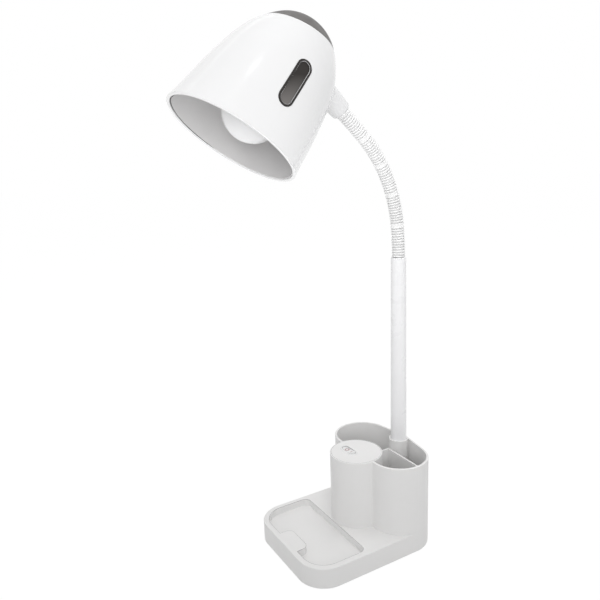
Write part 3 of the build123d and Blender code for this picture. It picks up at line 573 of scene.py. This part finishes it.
BRASS = Finish(
    "brass", (0.72, 0.52, 0.24), 0.14, (0.25, 0.4), Pattern.BRUSHED,
    metallic=1.0, bump=0.005, wear=0.3,
)
RUBBER = Finish(
    "rubber", (0.05, 0.05, 0.05), 0.2, (0.7, 0.85), Pattern.RUBBERY, bump=0.02, wear=0.3
)
SLEEVE = Finish("lead_sleeve", (0.19, 0.075, 0.045), 0.1, (0.4, 0.5), Pattern.RUBBERY, bump=0.006)

NODE_FINISH: dict[str, Finish] = {
    "base_shell": BASE_PLASTIC,
    "bottom_cover": UNDERSIDE,
    "cover_screws": STEEL,
    "rubber_feet": RUBBER,
    "ballast_plate": BALLAST,
    "switch_housing": SWITCH_WHITE,
    "switch_rocker": SWITCH_WHITE,
    "switch_pin": STEEL,
    "switch_blades": BRASS,
    "terminal_block": TERMINAL_WHITE,
    "terminal_screws": BRASS,
    "cord_inlet_grommet": RUBBER,
    "pole_leads": SLEEVE,
    "switch_leads": SLEEVE,
    "pole_tube": POLE_PAINT,
    "pole_anchor": STEEL,
    "pole_nut": STEEL,
    "neck_collar": SHADE_GLOSS,
    "collar_nipple": STEEL,
    "collar_saddle": BULB_BODY,
    "collar_nut": STEEL,
    "holder_bracket": BALLAST,
    "shade_shell": SHADE_GLOSS,
    "shade_cap": CAP_GREY,
    "shade_liner": LINER_SATIN,
    "vent_frames": FRAME_GREY,
    "vent_panels": VENT_PANEL_PAINTED_LIGHT,
    "lampholder_body": HOLDER_BLACK,
    "lampholder_ring": HOLDER_BLACK,
    "lampholder_contact": BRASS,
    "bulb_globe": BULB_OPAL,
    "bulb_body": BULB_BODY,
    "bulb_screw_cap": CAP_METAL,
    "bulb_contact_tip": BRASS,
}


class Workshop:
    """Turns finished bmeshes into objects, and hands out each finish's material once."""

    def __init__(self) -> None:
        """Starts with no materials made."""
        self.groups = Groups()
        self.made: dict[str, Material] = {}

    def material(self, finish: Finish) -> Material:
        """Material of a finish, built the first time it is asked for.

        Args:
            finish: The finish.

        Returns:
            Its material.
        """
        if finish.name not in self.made:
            self.made[finish.name] = finish.build(self.groups)
        return self.made[finish.name]

    def piece(self, name: str, bm: BMesh, finish: Finish, body: str | None) -> Object:
        """Makes an object of a bmesh and lets it ride on a body.

        Args:
            name: The object's name.
            bm: The mesh, in place, in metres. It is freed.
            finish: Its finish.
            body: The body that it rides on, or None to leave it on no body.

        Returns:
            The object.
        """
        bmesh.ops.remove_doubles(bm, verts=bm.verts, dist=WELD_DISTANCE)
        bmesh.ops.recalc_face_normals(bm, faces=bm.faces)
        mesh = bpy.data.meshes.new(name)
        bm.to_mesh(mesh)
        bm.free()
        mesh.shade_smooth()
        mesh.set_sharp_from_angle(angle=math.radians(SHARP_ANGLE))
        mesh.materials.append(self.material(finish))
        obj = bpy.data.objects.new(name, mesh)
        bpy.context.scene.collection.objects.link(obj)
        if body is not None:
            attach(obj, body)
        LOG.info("%s on %s: %d faces", name, body, len(mesh.polygons))
        return obj


@dataclass
class NeckPath:
    """Centre line of the flexible neck: one arc for each length, all in the plane X = 0.

    Attributes:
        foot: Y and Z of its lower end, at the pole's top.
        step: Length of each arc.
        turns: Angle of each arc, in degrees.
    """

    foot: Pair = (69.0 * MM, 290.8 * MM)
    step: float = 31.91 * MM
    turns: tuple[float, ...] = (6.03, 12.21, 13.3, 13.69, 3.37)

    def at(self, distance: float) -> Triple:
        """Point and heading at a distance from the foot.

        Args:
            distance: Distance along the neck.

        Returns:
            Y, Z and the heading in radians from straight up towards -Y.
        """
        (y, z), heading, left = self.foot, 0.0, distance
        for turn in self.turns:
            run = min(left, self.step)
            radius = self.step / math.radians(turn)
            new = heading + run / radius
            y -= radius * (math.cos(heading) - math.cos(new))
            z += radius * (math.sin(new) - math.sin(heading))
            heading, left = new, left - run
            if left <= NOTHING:
                break
        return y, z, heading

    def bend(self, bm: BMesh) -> None:
        """Bends a mesh that stands straight on Z, its Z being the distance along the neck."""
        for vert in bm.verts:
            y, z, heading = self.at(max(vert.co.z, 0.0))
            over = min(vert.co.z, 0.0)
            side = Vector((0, math.cos(heading), math.sin(heading)))
            vert.co = Vector((vert.co.x, y, z + over)) + side * vert.co.y


@dataclass
class FlexNeck:
    """Ribbed hose between the pole and the head, in five lengths with soft sleeves between them.
    Its grooves are darker grey: painted shade.

    Attributes:
        path: Its centre line.
        radius: Outside radius of the ribs.
        bore: Radius at which a length's ends close.
        lip: How far those ends are set in.
        groove: Depth of the grooves.
        groove_share: Share of that depth below which a face takes the grooves' darker grey, which
            is painted shade.
        ribs: Ribs on each length.
        rib_share: Share of the pitch that a rib takes.
        rib_steps: Steps across a rib.
        crown: Exponents of a rib's rounding, across it and in its height.
        gap: Free length at a joint.
        sides: Sides of the round section.
        sleeve_radius: Outside radius of a sleeve.
        sleeve_half: Half a sleeve's length.
        sleeve_wall: A sleeve's wall.
        half_steps: Steps along half a sleeve.
    """

    path: NeckPath = field(default_factory=NeckPath)
    radius: float = 6.75 * MM
    bore: float = 4.6 * MM
    lip: float = 0.2 * MM
    groove: float = 0.9 * MM
    groove_share: float = 0.6
    ribs: int = 12
    rib_share: float = 0.62
    rib_steps: int = 8
    crown: Pair = (3.2, 2.2)
    gap: float = 1.8 * MM
    sides: int = 56
    sleeve_radius: float = 6.0 * MM
    sleeve_half: float = 1.7 * MM
    sleeve_wall: float = 0.4 * MM
    half_steps: int = 4

    def joint_frame(self, distance: float) -> tuple[Vector, Vector, Vector]:
        """Frame of a joint between two lengths.

        Args:
            distance: Distance of the joint along the neck.

        Returns:
            The joint's centre, the neck's direction there, and the side in the neck's plane.
        """
        y, z, heading = self.path.at(distance)
        along = Vector((0, -math.sin(heading), math.cos(heading)))
        side = Vector((0, math.cos(heading), math.sin(heading)))
        return Vector((0, y, z)), along, side

    def sleeves(self, shop: Workshop) -> None:
        """Makes the soft sleeves that close the joints.

        Args:
            shop: Where pieces are finished.
        """
        count = len(self.path.turns)
        half = self.sleeve_half
        heights = [-half + k * half / self.half_steps for k in range(2 * self.half_steps + 1)]
        outline = [(self.sleeve_radius, h) for h in heights]
        outline += [(r - self.sleeve_wall, h) for r, h in reversed(outline)]
        for index in range(count):
            centre, along, side = self.joint_frame(self.path.step * (index + 1))
            bm = bmesh.new()
            rows = []
            for r, h in outline:
                ring = []
                for a in around(self.sides):
                    across = Vector((1, 0, 0)) * (r * math.cos(a))
                    spot = centre + along * h + across + side * (r * math.sin(a))
                    ring.append(bm.verts.new(spot))
                rows.append(ring)
            join_rows(bm, rows)
            sleeve = shop.piece(f"hose_core_{index + 1}", bm, HOSE_SKIN, None)
            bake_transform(sleeve)

    def profile(self, low: float, high: float) -> list[Pair]:
        """Radius along one length, ribs rounded and grooves narrow.

        Args:
            low: Where the length starts, as a distance along the neck.
            high: Where it ends.

        Returns:
            Pairs of radius and distance.
        """
        pitch = (high - low) / (self.ribs - 1 + self.rib_share)
        width = pitch * self.rib_share
        across, tall = self.crown
        points = [(self.bore, low + self.lip)]
        for k in range(self.ribs):
            start = low + k * pitch
            for j in range(self.rib_steps + 1):
                t = j / self.rib_steps
                crown = (1 - abs(2 * t - 1) ** across) ** (1 / tall)
                points.append((self.radius - self.groove * (1 - crown), start + width * t))
        return points + [(self.bore, high - self.lip)]

    def build(self, shop: Workshop) -> None:
        """Makes the five lengths and dresses them, then the sleeves.

        Args:
            shop: Where pieces are finished.
        """
        for index in range(len(self.path.turns)):
            low = self.path.step * index + (0.0 if index == 0 else self.gap / 2)
            high = self.path.step * (index + 1) - self.gap / 2
            bm = bmesh.new()
            chain = [bm.verts.new((r, 0, z)) for r, z in self.profile(low, high)]
            spin_round(bm, chain, list(zip(chain, chain[1:])), self.sides)
            ends = [e for e in bm.edges if e.is_boundary]
            bmesh.ops.holes_fill(bm, edges=ends, sides=0)
            # Faces deep in the grooves take the second, darker material: painted shade in the
            # grooves.
            for face in bm.faces:
                widest = max(math.hypot(v.co.x, v.co.y) for v in face.verts)
                deep = widest < self.radius - self.groove * self.groove_share
                face.material_index = int(deep)
            self.path.bend(bm)
            hose = shop.piece(
                f"hose_ribs_{index + 1}", bm, HOSE_SKIN, f"neck_{index + 1}"
            )
            hose.data.materials.append(shop.material(GROOVE_PAINTED_SHADE))
            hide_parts(f"neck_hose_{index + 1}")
        self.sleeves(shop)


@dataclass
class RockerSwitch:
    """Marks on the rocker: a ring on the off side and a bar on the on side.

    Attributes:
        pivot: The rocker's axis, in its middle.
        tilt: Its tilt at rest, in degrees.
        face: Height of its face above the axis.
        dish: Radius of the dished face.
        ring_x: Where the ring is.
        bar_x: Where the bar is.
        ring_radius: Middle radius of the ring's line.
        ring_line: Width of that line.
        ring_steps: Steps round the ring.
        bar_size: Width and length of the bar.
        proud: How far the marks stand out of the face.
        sunk: How far they go into it.
    """

    pivot: Triple = (-5.0 * MM, 7.5 * MM, 91.9 * MM)
    tilt: float = -5.0
    face: float = 1.5 * MM
    dish: float = 45.625 * MM
    ring_x: float = -3.2 * MM
    bar_x: float = 4.2 * MM
    ring_radius: float = 2.0 * MM
    ring_line: float = 0.8 * MM
    ring_steps: int = 40
    bar_size: Pair = (0.9 * MM, 3.0 * MM)
    proud: float = 0.04 * MM
    sunk: float = 0.02 * MM

    def settle(self, bm: BMesh) -> None:
        """Lays a flat mark on the rocker's dished face and tilts it with the rocker."""
        for vert in bm.verts:
            drop = self.dish - math.sqrt(self.dish**2 - vert.co.x**2)
            vert.co.z += self.face + drop
        place = Matrix.Translation(self.pivot) @ Matrix.Rotation(math.radians(self.tilt), 4, "Y")
        bmesh.ops.transform(bm, matrix=place, verts=bm.verts)

    def build(self, shop: Workshop) -> None:
        """Makes the two marks.

        Args:
            shop: Where pieces are finished.
        """
        bm = bmesh.new()
        line, mid = self.ring_line / 2, self.ring_radius
        section = (
            (mid - line, 0, -self.sunk),
            (mid - line, 0, self.proud),
            (mid + line, 0, self.proud),
            (mid + line, 0, -self.sunk),
        )
        chain = [bm.verts.new(spot) for spot in section]
        spin_round(bm, chain, list(zip(chain, chain[1:] + chain[:1])), self.ring_steps)
        bmesh.ops.translate(bm, vec=(self.ring_x, 0, 0), verts=bm.verts)
        self.settle(bm)
        shop.piece("switch_mark_off", bm, MARK_RED, "rocker")
        bm = bmesh.new()
        bmesh.ops.create_cube(bm, size=1.0)
        width, length = self.bar_size
        middle = (self.proud - self.sunk) / 2
        bmesh.ops.scale(bm, vec=(width, length, self.proud + self.sunk), verts=bm.verts)
        bmesh.ops.translate(bm, vec=(self.bar_x, 0, middle), verts=bm.verts)
        self.settle(bm)
        shop.piece("switch_mark_on", bm, MARK_RED, "rocker")


@dataclass
class EdgeLines:
    """Thin dark lines of painted shadow along the tray's edge, the rim of the tower's lid and the
    switch. All in mm.

    Attributes:
        half: Half the tray's width.
        front: Y of its front edge.
        rear: Y of its rear edge.
        front_radius: Radius of its front corners.
        rear_radius: Radius of its rear corners.
        tab: Left and right ends of the tab, how far it comes in, and the radius of its corners.
        plate_top: Height of the plate's top.
        lid: X, Y and radius of the lid.
        lid_top: Height of the lid.
        switch: X and Y of the switch.
        switch_size: Length and width of its outline.
        switch_top: Height of its frame.
        thickness: Radius of the lines.
        sink: Share of that radius by which a line's middle lies lower than its surface.
        sides: Sides of a line's section.
        corner_steps: Steps round a corner of the tray.
        lid_steps: Steps round the lid.
        end_steps: Steps round an end of the switch.
    """

    half: float = 55.15
    front: float = -72.4
    rear: float = -15.3
    front_radius: float = 22.4
    rear_radius: float = 7.0
    tab: tuple[float, float, float, float] = (-14.0, 20.5, 13.2, 7.0)
    plate_top: float = 21.5
    lid: Triple = (0.0, 13.0, 25.9)
    lid_top: float = 93.5
    switch: Pair = (-5.0, 7.5)
    switch_size: Pair = (19.4, 7.8)
    switch_top: float = 94.25
    thickness: float = 0.17
    sink: float = 0.4
    sides: int = 6
    corner_steps: int = 12
    lid_steps: int = 96
    end_steps: int = 20

    def tray_outline(self) -> list[Pair]:
        """Outline of the tray with its tab, corners rounded.

        Returns:
            Points of the closed outline, in millimetres.
        """
        left, right, reach, radius = self.tab
        corners = [
            (-self.half, self.front, self.front_radius),
            (left, self.front, 0.0),
            (left, self.front + reach, radius),
            (right, self.front + reach, radius),
            (right, self.front, 0.0),
            (self.half, self.front, self.front_radius),
            (self.half, self.rear, self.rear_radius),
            (-self.half, self.rear, self.rear_radius),
        ]
        points = []
        for k, (x, y, r) in enumerate(corners):
            before = Vector(corners[k - 1][:2])
            after = Vector(corners[(k + 1) % len(corners)][:2])
            here = Vector((x, y))
            if not r:
                points.append((x, y))
                continue
            back = (before - here).normalized()
            on = (after - here).normalized()
            centre = here + (back + on) * r
            start = here + back * r - centre
            end = here + on * r - centre
            for j in range(self.corner_steps + 1):
                turn = j / self.corner_steps * math.pi / 2
                spot = centre + start * math.cos(turn) + end * math.sin(turn)
                points.append((spot.x, spot.y))
        return points

    def line(self, shop: Workshop, name: str, outline: list[Pair], top: float) -> None:
        """Lays one closed thin line on a level surface.

        Args:
            shop: Where pieces are finished.
            name: The piece's name.
            outline: Its points, in millimetres.
            top: Height of the surface, in millimetres.
        """
        bm = bmesh.new()
        rows = []
        count = len(outline)
        for k, spot in enumerate(outline):
            ahead = Vector(outline[(k + 1) % count]) - Vector(outline[k - 1])
            out = Vector((ahead.y, -ahead.x)).normalized()
            ring = []
            for a in around(self.sides):
                x, y = Vector(spot) + out * (self.thickness * math.cos(a))
                z = top + self.thickness * (math.sin(a) - self.sink)
                ring.append(bm.verts.new(Vector((x, y, z)) * MM))
            rows.append(ring)
        join_rows(bm, rows)
        # Each line is dark grey: painted shadow along the edge.
        shop.piece(name, bm, EDGE_PAINTED_SHADOW, "base")

    def build(self, shop: Workshop) -> None:
        """Lays the tray's line, the lid's and the switch's.

        Args:
            shop: Where pieces are finished.
        """
        self.line(shop, "tray_edge_line", self.tray_outline(), self.plate_top)
        x, y, r = self.lid
        ring = [(x + r * math.cos(a), y + r * math.sin(a)) for a in around(self.lid_steps)]
        self.line(shop, "lid_edge_line", ring, self.lid_top)
        x, y = self.switch
        length, width = self.switch_size
        r, straight = width / 2, (length - width) / 2
        turns = [math.pi * k / self.end_steps for k in range(self.end_steps + 1)]
        slot = [(x + straight + r * math.sin(a), y - r * math.cos(a)) for a in turns]
        slot += [(x - straight - r * math.sin(a), y + r * math.cos(a)) for a in turns]
        self.line(shop, "switch_edge_line", slot, self.switch_top)


@dataclass
class HeadTrim:
    """Thin trim on the head: a bright bead in each side vent as a painted highlight on the frame's
    inner edge, and a near-black line of painted shade in the gap inside the mouth.

    Sizes are in millimetres. Heights run along the shade's axis from its mouth.

    Attributes:
        origin: Middle of the mouth.
        axis: Direction of the shade's axis.
        out: Direction across it, towards the collar.
        vent_centre: Place of a vent across the shade, and its height.
        vent_size: Length and width of a vent's panel.
        bead: Radius of the beads.
        bead_sink: How far the beads' middle lies inside the wall.
        wall_point: Height and outside radius of the wall at one point.
        wall_slope: Change of that radius with height.
        wall_curve: Its curve.
        wall_span: Height over which the curve comes back to the slope's line.
        mouth_height: Height of the gap's line.
        mouth_rake: Slope of the mouth across the shade, in degrees.
        gap_radius: Radius of the gap's line.
        gap_line: Radius of its section.
        arc_steps: Steps round an end of a vent.
        mouth_steps: Steps round the mouth.
        sides: Sides of a line's section.
        steep: Least sine between a line and the axis for the axis to guide its section.
    """

    origin: Triple = (0.0, -106.48, 405.24)
    axis: Triple = (0.0, 0.6613, 0.7501)
    out: Triple = (0.0, 0.7501, -0.6613)
    vent_centre: Pair = (-2.5, 51.7)
    vent_size: Pair = (40.1, 10.2)
    bead: float = 0.3
    bead_sink: float = 0.15
    wall_point: Pair = (38.0, 55.9)
    wall_slope: float = -0.15263
    wall_curve: float = -0.0015236
    wall_span: float = 19.0
    mouth_height: float = 2.0
    mouth_rake: float = 5.0
    gap_radius: float = 57.45
    gap_line: float = 0.28
    arc_steps: int = 24
    mouth_steps: int = 160
    sides: int = 8
    steep: float = 0.2

    def place(self, x: float, out: float, height: float) -> Vector:
        """Point given along the head's own directions, in metres.

        Args:
            x: Along X, in millimetres.
            out: Away from the shade's axis towards the collar.
            height: Along the shade's axis, from the mouth.

        Returns:
            The point in the part's frame.
        """
        middle = Vector((x, 0, 0)) + Vector(self.origin)
        return (middle + Vector(self.out) * out + Vector(self.axis) * height) * MM

    def wall_radius(self, height: float) -> float:
        """Outside radius of the shade beside the vents.

        Args:
            height: Along the shade's axis.

        Returns:
            The radius, in millimetres.
        """
        start, radius = self.wall_point
        run = height - start
        return radius + self.wall_slope * run + self.wall_curve * run * (run - self.wall_span)

    def tube(
        self,
        shop: Workshop,
        name: str,
        points: list[Vector],
        radius: float,
        finish: Finish,
    ) -> None:
        """Sweeps a round line along a closed path.

        Args:
            shop: Where pieces are finished.
            name: The piece's name.
            points: The path, in metres.
            radius: Its radius, in metres.
            finish: Its finish.
        """
        bm = bmesh.new()
        rows = []
        count = len(points)
        for k, spot in enumerate(points):
            ahead = (points[(k + 1) % count] - points[k - 1]).normalized()
            first = ahead.cross(Vector(self.axis))
            if first.length < self.steep:
                first = ahead.cross(Vector(self.out))
            first.normalize()
            second = ahead.cross(first)
            ring = []
            for a in around(self.sides):
                away = first * math.cos(a) + second * math.sin(a)
                ring.append(bm.verts.new(spot + away * radius))
            rows.append(ring)
        join_rows(bm, rows)
        shop.piece(name, bm, finish, "head")

    def pill(self) -> list[Pair]:
        """Outline of a vent's panel, long side along the shade's axis.

        Returns:
            Pairs of distance from the shade's middle plane and height.
        """
        length, width = self.vent_size
        across, height = self.vent_centre
        radius, straight = width / 2, length / 2 - width / 2
        points = []
        for end in (1, -1):
            for k in range(self.arc_steps + 1):
                a = math.pi * k / self.arc_steps
                reach = end * (straight + radius * math.sin(a))
                points.append((across + end * radius * math.cos(a), height + reach))
        return points

    def build(self, shop: Workshop) -> None:
        """Makes the beads, which are painted highlights, and the gap's line, which is painted
        shade.

        Args:
            shop: Where pieces are finished.
        """
        # Each bead is a painted highlight along the inner edge of a vent's frame.
        for side, name in ((1, "right"), (-1, "left")):
            points = []
            for across, height in self.pill():
                radius = self.wall_radius(height) - self.bead_sink
                points.append(self.place(side * math.sqrt(radius**2 - across**2), across, height))
            self.tube(shop, f"vent_bead_{name}", points, self.bead * MM, BEAD_PAINTED_HIGHLIGHT)
        # The line in the mouth's gap is painted shade.
        ring = []
        for a in around(self.mouth_steps):
            across = self.gap_radius * math.cos(a)
            height = self.mouth_height + across * math.tan(math.radians(self.mouth_rake))
            ring.append(self.place(self.gap_radius * math.sin(a), across, height))
        self.tube(shop, "mouth_gap_painted_shade_line", ring, self.gap_line * MM, GAP_PAINTED_SHADE)


@dataclass(frozen=True)
class Lamp:
    """One soft lamp.

    Attributes:
        name: Its name.
        spot: Where it hangs.
        aim: What it points at.
        size: Its side, or its width where it isn't square.
        power: Its power, in watts.
        spread: Angle of its beam, in degrees.
        height: Its other side, where it isn't square.
        mirrored: Whether glossy surfaces and the camera see it.
    """

    name: str
    spot: Triple
    aim: Triple
    size: float
    power: float
    spread: float = 180.0
    height: float | None = None
    mirrored: bool = False

    def hang(self) -> None:
        """Adds the lamp to the scene."""
        data = bpy.data.lights.new(self.name, "AREA")
        data.size = self.size
        data.energy = self.power
        data.spread = math.radians(self.spread)
        if self.height is not None:
            data.shape = "RECTANGLE"
            data.size_y = self.height
        obj = bpy.data.objects.new(self.name, data)
        obj.location = self.spot
        ahead = Vector(self.aim) - Vector(self.spot)
        obj.rotation_euler = ahead.to_track_quat("-Z", "Y").to_euler()
        obj.visible_glossy = self.mirrored
        obj.visible_camera = self.mirrored
        bpy.context.scene.collection.objects.link(obj)


LAMPS = (
    Lamp("overhead", (0.0, 0.25, 1.9), (0.0, 0.05, 0.1), 1.0, 7.4),
    Lamp("base_key", (0.5, -0.3, 1.0), (0.0, 0.03, 0.1), 0.5, 0.1, 36.0),
    Lamp("upper_fill", (0.8, -0.4, 0.5), (0.0, 0.02, 0.38), 0.35, 0.3, 50.0),
    Lamp("mouth_fill", (0.0, -0.5, 0.06), (0.0, -0.1, 0.41), 0.25, 0.14, 60.0),
    Lamp("liner_fill", (0.15, -0.02, 0.2), (-0.01, -0.13, 0.43), 0.1, 0.03, 80.0),
    Lamp("key", (0.384, -0.2, 1.286), (0.04, -0.1, 0.45), 0.12, 0.09, mirrored=True),
    Lamp(
        "strip", (-0.575, -0.18, 1.24), (0.02, -0.12, 0.47), 0.85, 0.1, height=0.02, mirrored=True
    ),
)


@dataclass
class Studio:
    """Camera, floor, backdrop and lamps.

    Attributes:
        target: What the camera points at.
        azimuth: Where it stands round the lamp, in degrees from the front.
        elevation: How steeply it looks down, in degrees.
        roll: How far it is turned about its own direction, in degrees.
        distance: How far it stands from the target.
        sensor: Width of its sensor, in millimetres.
        lens: Its focal length, in millimetres.
        near: Nearest distance that it sees.
        floor_half: Half the floor's side.
        floor_tone: How light the floor is where lamps light it.
        floor_glow: Strength of the white that the floor shows to the camera.
        floor_share: Share of that white, so that the rest shows the lamp's shadow.
        ambient: Strength of the even light from all round.
    """

    target: Triple = (-105.2 * MM, 13.0 * MM, 235.27 * MM)
    azimuth: float = 60.31
    elevation: float = 12.78
    roll: float = -2.14
    distance: float = 678.64 * MM
    sensor: float = 36.0
    lens: float = 36.0
    near: float = 10 * MM
    floor_half: float = 12.0
    floor_tone: float = 0.75
    floor_glow: float = 1.06
    floor_share: float = 0.9
    ambient: float = 0.6

    def camera(self) -> None:
        """Places the camera."""
        az, el, roll = (math.radians(v) for v in (self.azimuth, self.elevation, self.roll))
        ahead = Vector((-math.sin(az) * math.cos(el), math.cos(az) * math.cos(el), -math.sin(el)))
        right = Vector((math.cos(az), math.sin(az), 0.0))
        up = right.cross(ahead)
        side = right * math.cos(roll) + up * math.sin(roll)
        top = up * math.cos(roll) - right * math.sin(roll)
        spot = Vector(self.target) - ahead * self.distance
        data = bpy.data.cameras.new("camera")
        data.sensor_width = self.sensor
        data.lens = self.lens
        data.clip_start = self.near
        cam = bpy.data.objects.new("camera", data)
        turned = Matrix((side, top, -ahead)).transposed().to_4x4()
        cam.matrix_world = Matrix.Translation(spot) @ turned
        bpy.context.scene.collection.objects.link(cam)
        bpy.context.scene.camera = cam

    @staticmethod
    def seen(tree: NodeTree, *kinds: str) -> NodeSocket:
        """Mask of rays of some kinds.

        Args:
            tree: The node tree.
            kinds: The kinds of ray, as the light path node names them.

        Returns:
            The socket that gives 1 for those rays and 0 for others.
        """
        path = add_node(tree, "ShaderNodeLightPath")
        mask = path.outputs[f"Is {kinds[0]} Ray"]
        for kind in kinds[1:]:
            both = add_node(tree, "ShaderNodeMath", {"operation": "ADD", "use_clamp": True})
            join(tree, (mask, both.inputs[0]), (path.outputs[f"Is {kind} Ray"], both.inputs[1]))
            mask = both.outputs[0]
        return mask

    def floor(self) -> None:
        """Lays a wide pale floor that shows white and keeps the lamp's shadow."""
        bm = bmesh.new()
        bmesh.ops.create_grid(bm, x_segments=1, y_segments=1, size=self.floor_half)
        mesh = bpy.data.meshes.new("floor")
        bm.to_mesh(mesh)
        bm.free()
        material = bpy.data.materials.new("pale_floor")
        material.use_nodes = True
        tree = material.node_tree
        tree.nodes.clear()
        out = add_node(tree, "ShaderNodeOutputMaterial")
        mix = add_node(tree, "ShaderNodeMixShader")
        lit = add_node(tree, "ShaderNodeBsdfDiffuse", values={"Color": (*[self.floor_tone] * 3, 1)})
        glow = add_node(tree, "ShaderNodeEmission", values={"Strength": self.floor_glow})
        share = add_node(tree, "ShaderNodeMath", {"operation": "MULTIPLY"}, {1: self.floor_share})
        join(
            tree,
            (self.seen(tree, "Camera", "Glossy"), share.inputs[0]),
            (share.outputs[0], mix.inputs[0]),
            (lit.outputs[0], mix.inputs[1]),
            (glow.outputs[0], mix.inputs[2]),
            (mix.outputs[0], out.inputs["Surface"]),
        )
        mesh.materials.append(material)
        obj = bpy.data.objects.new("floor", mesh)
        bpy.context.scene.collection.objects.link(obj)

    def world(self) -> None:
        """Sets the even light from all round, and the white that the camera sees behind."""
        world = bpy.data.worlds.new("studio")
        bpy.context.scene.world = world
        world.use_nodes = True
        tree = world.node_tree
        tree.nodes.clear()
        out = add_node(tree, "ShaderNodeOutputWorld")
        mix = add_node(tree, "ShaderNodeMixShader")
        light, white = (
            add_node(tree, "ShaderNodeBackground", values={"Color": WHITE, "Strength": strength})
            for strength in (self.ambient, 1.0)
        )
        join(
            tree,
            (self.seen(tree, "Camera", "Glossy", "Transmission"), mix.inputs[0]),
            (light.outputs[0], mix.inputs[1]),
            (white.outputs[0], mix.inputs[2]),
            (mix.outputs[0], out.inputs["Surface"]),
        )

    def build(self) -> None:
        """Sets the whole stage."""
        self.camera()
        self.floor()
        self.world()
        for lamp in LAMPS:
            lamp.hang()
        bpy.context.scene.view_settings.view_transform = "Standard"


def dress_nodes(shop: Workshop) -> None:
    """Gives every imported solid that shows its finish.

    Args:
        shop: Where finishes are made.
    """
    for name, finish in NODE_FINISH.items():
        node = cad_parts[name]
        material = shop.material(finish)
        if not node.material_slots:
            node.data.materials.append(material)
        for slot in node.material_slots:
            slot.material = material
        LOG.info("%s: %s", name, finish.name)


def main() -> None:
    """Builds the stage, the pieces and their finishes."""
    Studio().build()
    shop = Workshop()
    dress_nodes(shop)
    FlexNeck().build(shop)
    RockerSwitch().build(shop)
    EdgeLines().build(shop)
    HeadTrim().build(shop)


if __name__ == "__main__":
    logging.basicConfig(level=logging.INFO, format="%(name)s: %(message)s")
    main()
